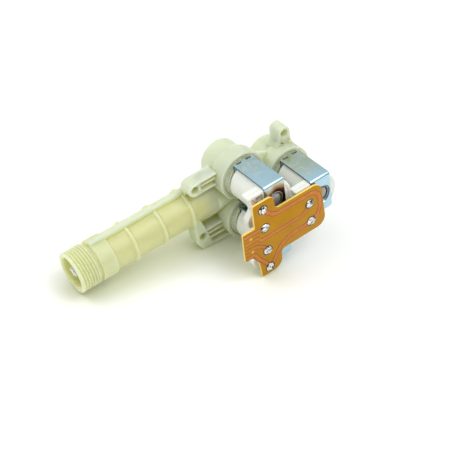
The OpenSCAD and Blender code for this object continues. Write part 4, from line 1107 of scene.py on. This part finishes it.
class INLETVALVE_OT_board(bpy.types.Operator):
    """Build the circuit board, its copper, its solder and the pins"""
    bl_idname = "inletvalve.board"
    bl_label = "Circuit Board"

    def execute(self, context):
        scene, colours = context.scene, context.scene.valve_colours
        s = scene.valve_board
        finished(board_piece(s), lacquered_laminate(tuple(colours.laminate)), "board", "circuit_board")
        finished(track_piece(s), lacquered_copper(tuple(colours.copper)), "copper_track", "copper_tracks")
        # Painted shadow along the tracks' edges, drawn with the lacquer's edge, and the flux rings round the joints.
        finished(shadow_line_and_flux_piece(s), shadow_line_and_flux(), "board")
        finished(solder_piece(s), soft_solder(tuple(colours.solder)), "solder", "solder_joints")
        tin = plain_metal("tinned_brass_pin", "#D5D6D2", 0.25)
        for name in VALVES:
            finished(pin_piece(s, name), tin, "tinned_pins", name + "_terminal_pins")
        return {"FINISHED"}


class INLETVALVE_OT_mechanism(bpy.types.Operator):
    """Finish the pieces inside the valves, which keep their own solids, and wind the springs"""
    bl_idname = "inletvalve.mechanism"
    bl_label = "Mechanism"

    def execute(self, context):
        rubber = plain_moulding("epdm_rubber", tuple(context.scene.valve_colours.rubber), 0.6)
        wire = plain_metal("stainless_wire_drawn", "#A6AAAC", 0.28)
        finishes = {
            "winding": plain_metal("copper_winding_enamelled", "#B5672F", 0.35, (1.0, 14.0, 1.0), 180.0),
            "rear_sleeve": plain_metal("steel_rolled_inner", "#80878A", 0.35),
            "plunger": plain_metal("stainless_steel_turned", "#B9BDBF", 0.25, (0.1, 8.0, 0.1), 400.0),
            "plunger_seal": rubber, "diaphragm": rubber, "flow_washer": rubber,
            "diaphragm_disc": plain_moulding("acetal_natural", linear("#E6E3D6"), 0.4)}
        for name in VALVES:
            for piece, material in finishes.items():
                node = frame["nodes"]["%s_%s" % (name, piece)]
                node.data.materials.clear()
                node.data.materials.append(material)
            spring = finished(spring_piece(name), wire, "spring_steel", name + "_plunger_spring")
            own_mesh(spring)
        return {"FINISHED"}


def resting_plane(rough):
    """Plane that the part stands on, as its normal and a point. Each of three rough corners moves to the lowest point
    within 16 mm of it, measured along the normal of the three, until none moves; the plane then drops to the lowest
    point of all, so nothing passes through it."""
    clouds = []
    for thing in bpy.context.scene.objects:
        if thing.type == "MESH" and not thing.hide_render and len(thing.data.vertices):
            flat = np.empty(len(thing.data.vertices) * 3)
            thing.data.vertices.foreach_get("co", flat)
            pose = np.array(thing.matrix_world)
            clouds.append(flat.reshape(-1, 3) @ pose[:3, :3].T + pose[:3, 3])
    points = np.concatenate(clouds) * 1000
    corners = np.array(rough, float)
    for _ in range(20):
        up = np.cross(corners[1] - corners[0], corners[2] - corners[0])
        up *= np.sign(up[2]) / np.linalg.norm(up)
        height = points @ up
        picked = []
        for c in rough:
            near = np.flatnonzero(np.linalg.norm(points - c, axis=1) < 16)
            picked.append(points[near[np.argmin(height[near])]])
        if np.allclose(picked, corners):
            break
        corners = np.array(picked)
    return up, corners.mean(0) + up * (height.min() - (corners @ up).mean())


class INLETVALVE_OT_stage(bpy.types.Operator):
    """Set up the table, the lights and the camera"""
    bl_idname = "inletvalve.stage"
    bl_label = "Stage"

    def execute(self, context):
        scene = context.scene
        up, middle = resting_plane(((6, 0, -13.3), (116, -12, -31.7), (98, -53.2, -30.9)))
        side = np.cross(up, [0, 0.3, 1.0])
        side /= np.linalg.norm(side)
        ahead = np.cross(up, side)
        corners = np.array([middle + 2500 * (a * side + b * ahead) for a, b in ((-1, -1), (1, -1), (1, 1), (-1, 1))])
        mesh = bpy.data.meshes.new("table")
        mesh.from_pydata((corners / 1000).tolist(), [], [[0, 1, 2, 3]])
        if mesh.polygons[0].normal @ Vector(up) < 0:
            mesh.flip_normals()
        table = bpy.data.objects.new("table", mesh)
        scene.collection.objects.link(table)
        table.data.materials.append(table_top(tuple(scene.valve_colours.floor)))

        world = scene.world or bpy.data.worlds.new("studio")
        scene.world = world
        world.use_nodes = True
        tree = world.node_tree
        sky = tree.nodes["Background"]
        toward = add(tree, "ShaderNodeTexCoord").outputs["Generated"]
        height = add(tree, "ShaderNodeSeparateXYZ", links={0: toward}).outputs["Z"]
        glow = ramp(tree, height, [(0.0, (0.40, 0.40, 0.39)), (0.2, (0.48, 0.48, 0.47)), (0.42, (0.80, 0.83, 0.85)),
                                   (0.75, (0.95, 0.97, 0.98)), (1.0, (1.05, 1.05, 1.05))])
        facing_camera = add(tree, "ShaderNodeVectorMath", {"operation": "DOT_PRODUCT", 1: (-0.377, -0.641, 0.669)},
                            {0: toward}).outputs["Value"]
        room = mixed(tree, spread(tree, facing_camera, 0.86, 0.97, 0.0, 0.8), glow, (0.1, 0.1, 0.1))
        tree.links.new(room, sky.inputs["Color"])
        sky.inputs["Strength"].default_value = 0.94
        centre = np.array([100, -20, 0.0]) / 1000
        lamps = (("window", (-0.6, 0.6, 1.4), 1.2, 5.7, (1.0, 0.98, 0.94)),
                 ("softbox", (0.5, -0.75, 1.1), 1.0, 7.2, (0.98, 0.99, 1.0)))
        for name, where, size, power, colour in lamps:
            lamp = bpy.data.lights.new(name, "AREA")
            lamp.shape = "SQUARE"
            lamp.size = size
            lamp.energy = power
            lamp.color = colour
            thing = bpy.data.objects.new(name, lamp)
            thing.location = Vector(centre) + Vector(where)
            thing.rotation_mode = "QUATERNION"
            thing.rotation_quaternion = Vector(where).to_track_quat("Z", "Y")
            scene.collection.objects.link(thing)
        scene.view_settings.view_transform = "Standard"
        scene.view_settings.look = "None"

        a, e, roll = (math.radians(v) for v in (-30.456187, 41.962436, 9.326740))
        focal, cx, cy, distance = 1215.084876, 228.699566, 182.218118, 744.874020
        back = np.array([math.sin(a) * math.cos(e), -math.cos(a) * math.cos(e), math.sin(e)])
        right = np.array([math.cos(a), math.sin(a), 0.0])
        c, n = math.cos(roll), math.sin(roll)
        turn = np.array([[c, -n, 0], [n, c, 0], [0, 0, 1]]) @ np.array([right, np.cross(back, right), back])
        offset = np.array([-(cx - 225) / focal * distance, (cy - 225) / focal * distance, distance])
        where = turn.T @ offset + [114.5, 0, 0]
        data = bpy.data.cameras.new("camera")
        data.sensor_width = 36
        data.lens = focal / 450 * 36
        data.clip_start, data.clip_end = 0.01, 20
        camera = bpy.data.objects.new("camera", data)
        camera.matrix_world = Matrix.Translation(Vector(where / 1000)) @ Matrix(turn.T.tolist()).to_4x4()
        scene.collection.objects.link(camera)
        scene.camera = camera
        return {"FINISHED"}


STEPS = (INLETVALVE_OT_body, INLETVALVE_OT_coils, INLETVALVE_OT_steel, INLETVALVE_OT_bonnets, INLETVALVE_OT_board,
         INLETVALVE_OT_mechanism, INLETVALVE_OT_stage)
GROUPS = {"valve_body": BodySizes, "valve_coil": CoilSizes, "valve_board": BoardSizes, "valve_colours": FinishColours}


class INLETVALVE_PT_panel(bpy.types.Panel):
    """Sizes, colours and building steps of the inlet valve"""
    bl_label = "Inlet Valve"
    bl_idname = "INLETVALVE_PT_panel"
    bl_space_type = "VIEW_3D"
    bl_region_type = "UI"
    bl_category = "Inlet Valve"

    def draw(self, context):
        for name, group in GROUPS.items():
            box = self.layout.box()
            box.label(text=group.__doc__)
            for prop in group.__annotations__:
                box.prop(getattr(context.scene, name), prop)
        for step in STEPS:
            self.layout.operator(step.bl_idname)


def register():
    """Registers the groups, the steps and the panel."""
    for name, group in GROUPS.items():
        bpy.utils.register_class(group)
        setattr(bpy.types.Scene, name, PointerProperty(type=group))
    for step in STEPS:
        bpy.utils.register_class(step)
    bpy.utils.register_class(INLETVALVE_PT_panel)


def unregister():
    """Removes what register added."""
    bpy.utils.unregister_class(INLETVALVE_PT_panel)
    for step in reversed(STEPS):
        bpy.utils.unregister_class(step)
    for name, group in GROUPS.items():
        delattr(bpy.types.Scene, name)
        bpy.utils.unregister_class(group)


def main():
    """Builds everything in order."""
    register()
    for step in STEPS:
        section, name = step.bl_idname.split(".")
        getattr(getattr(bpy.ops, section), name)()
    bpy.context.view_layer.update()


if __name__ == "__main__":
    main()
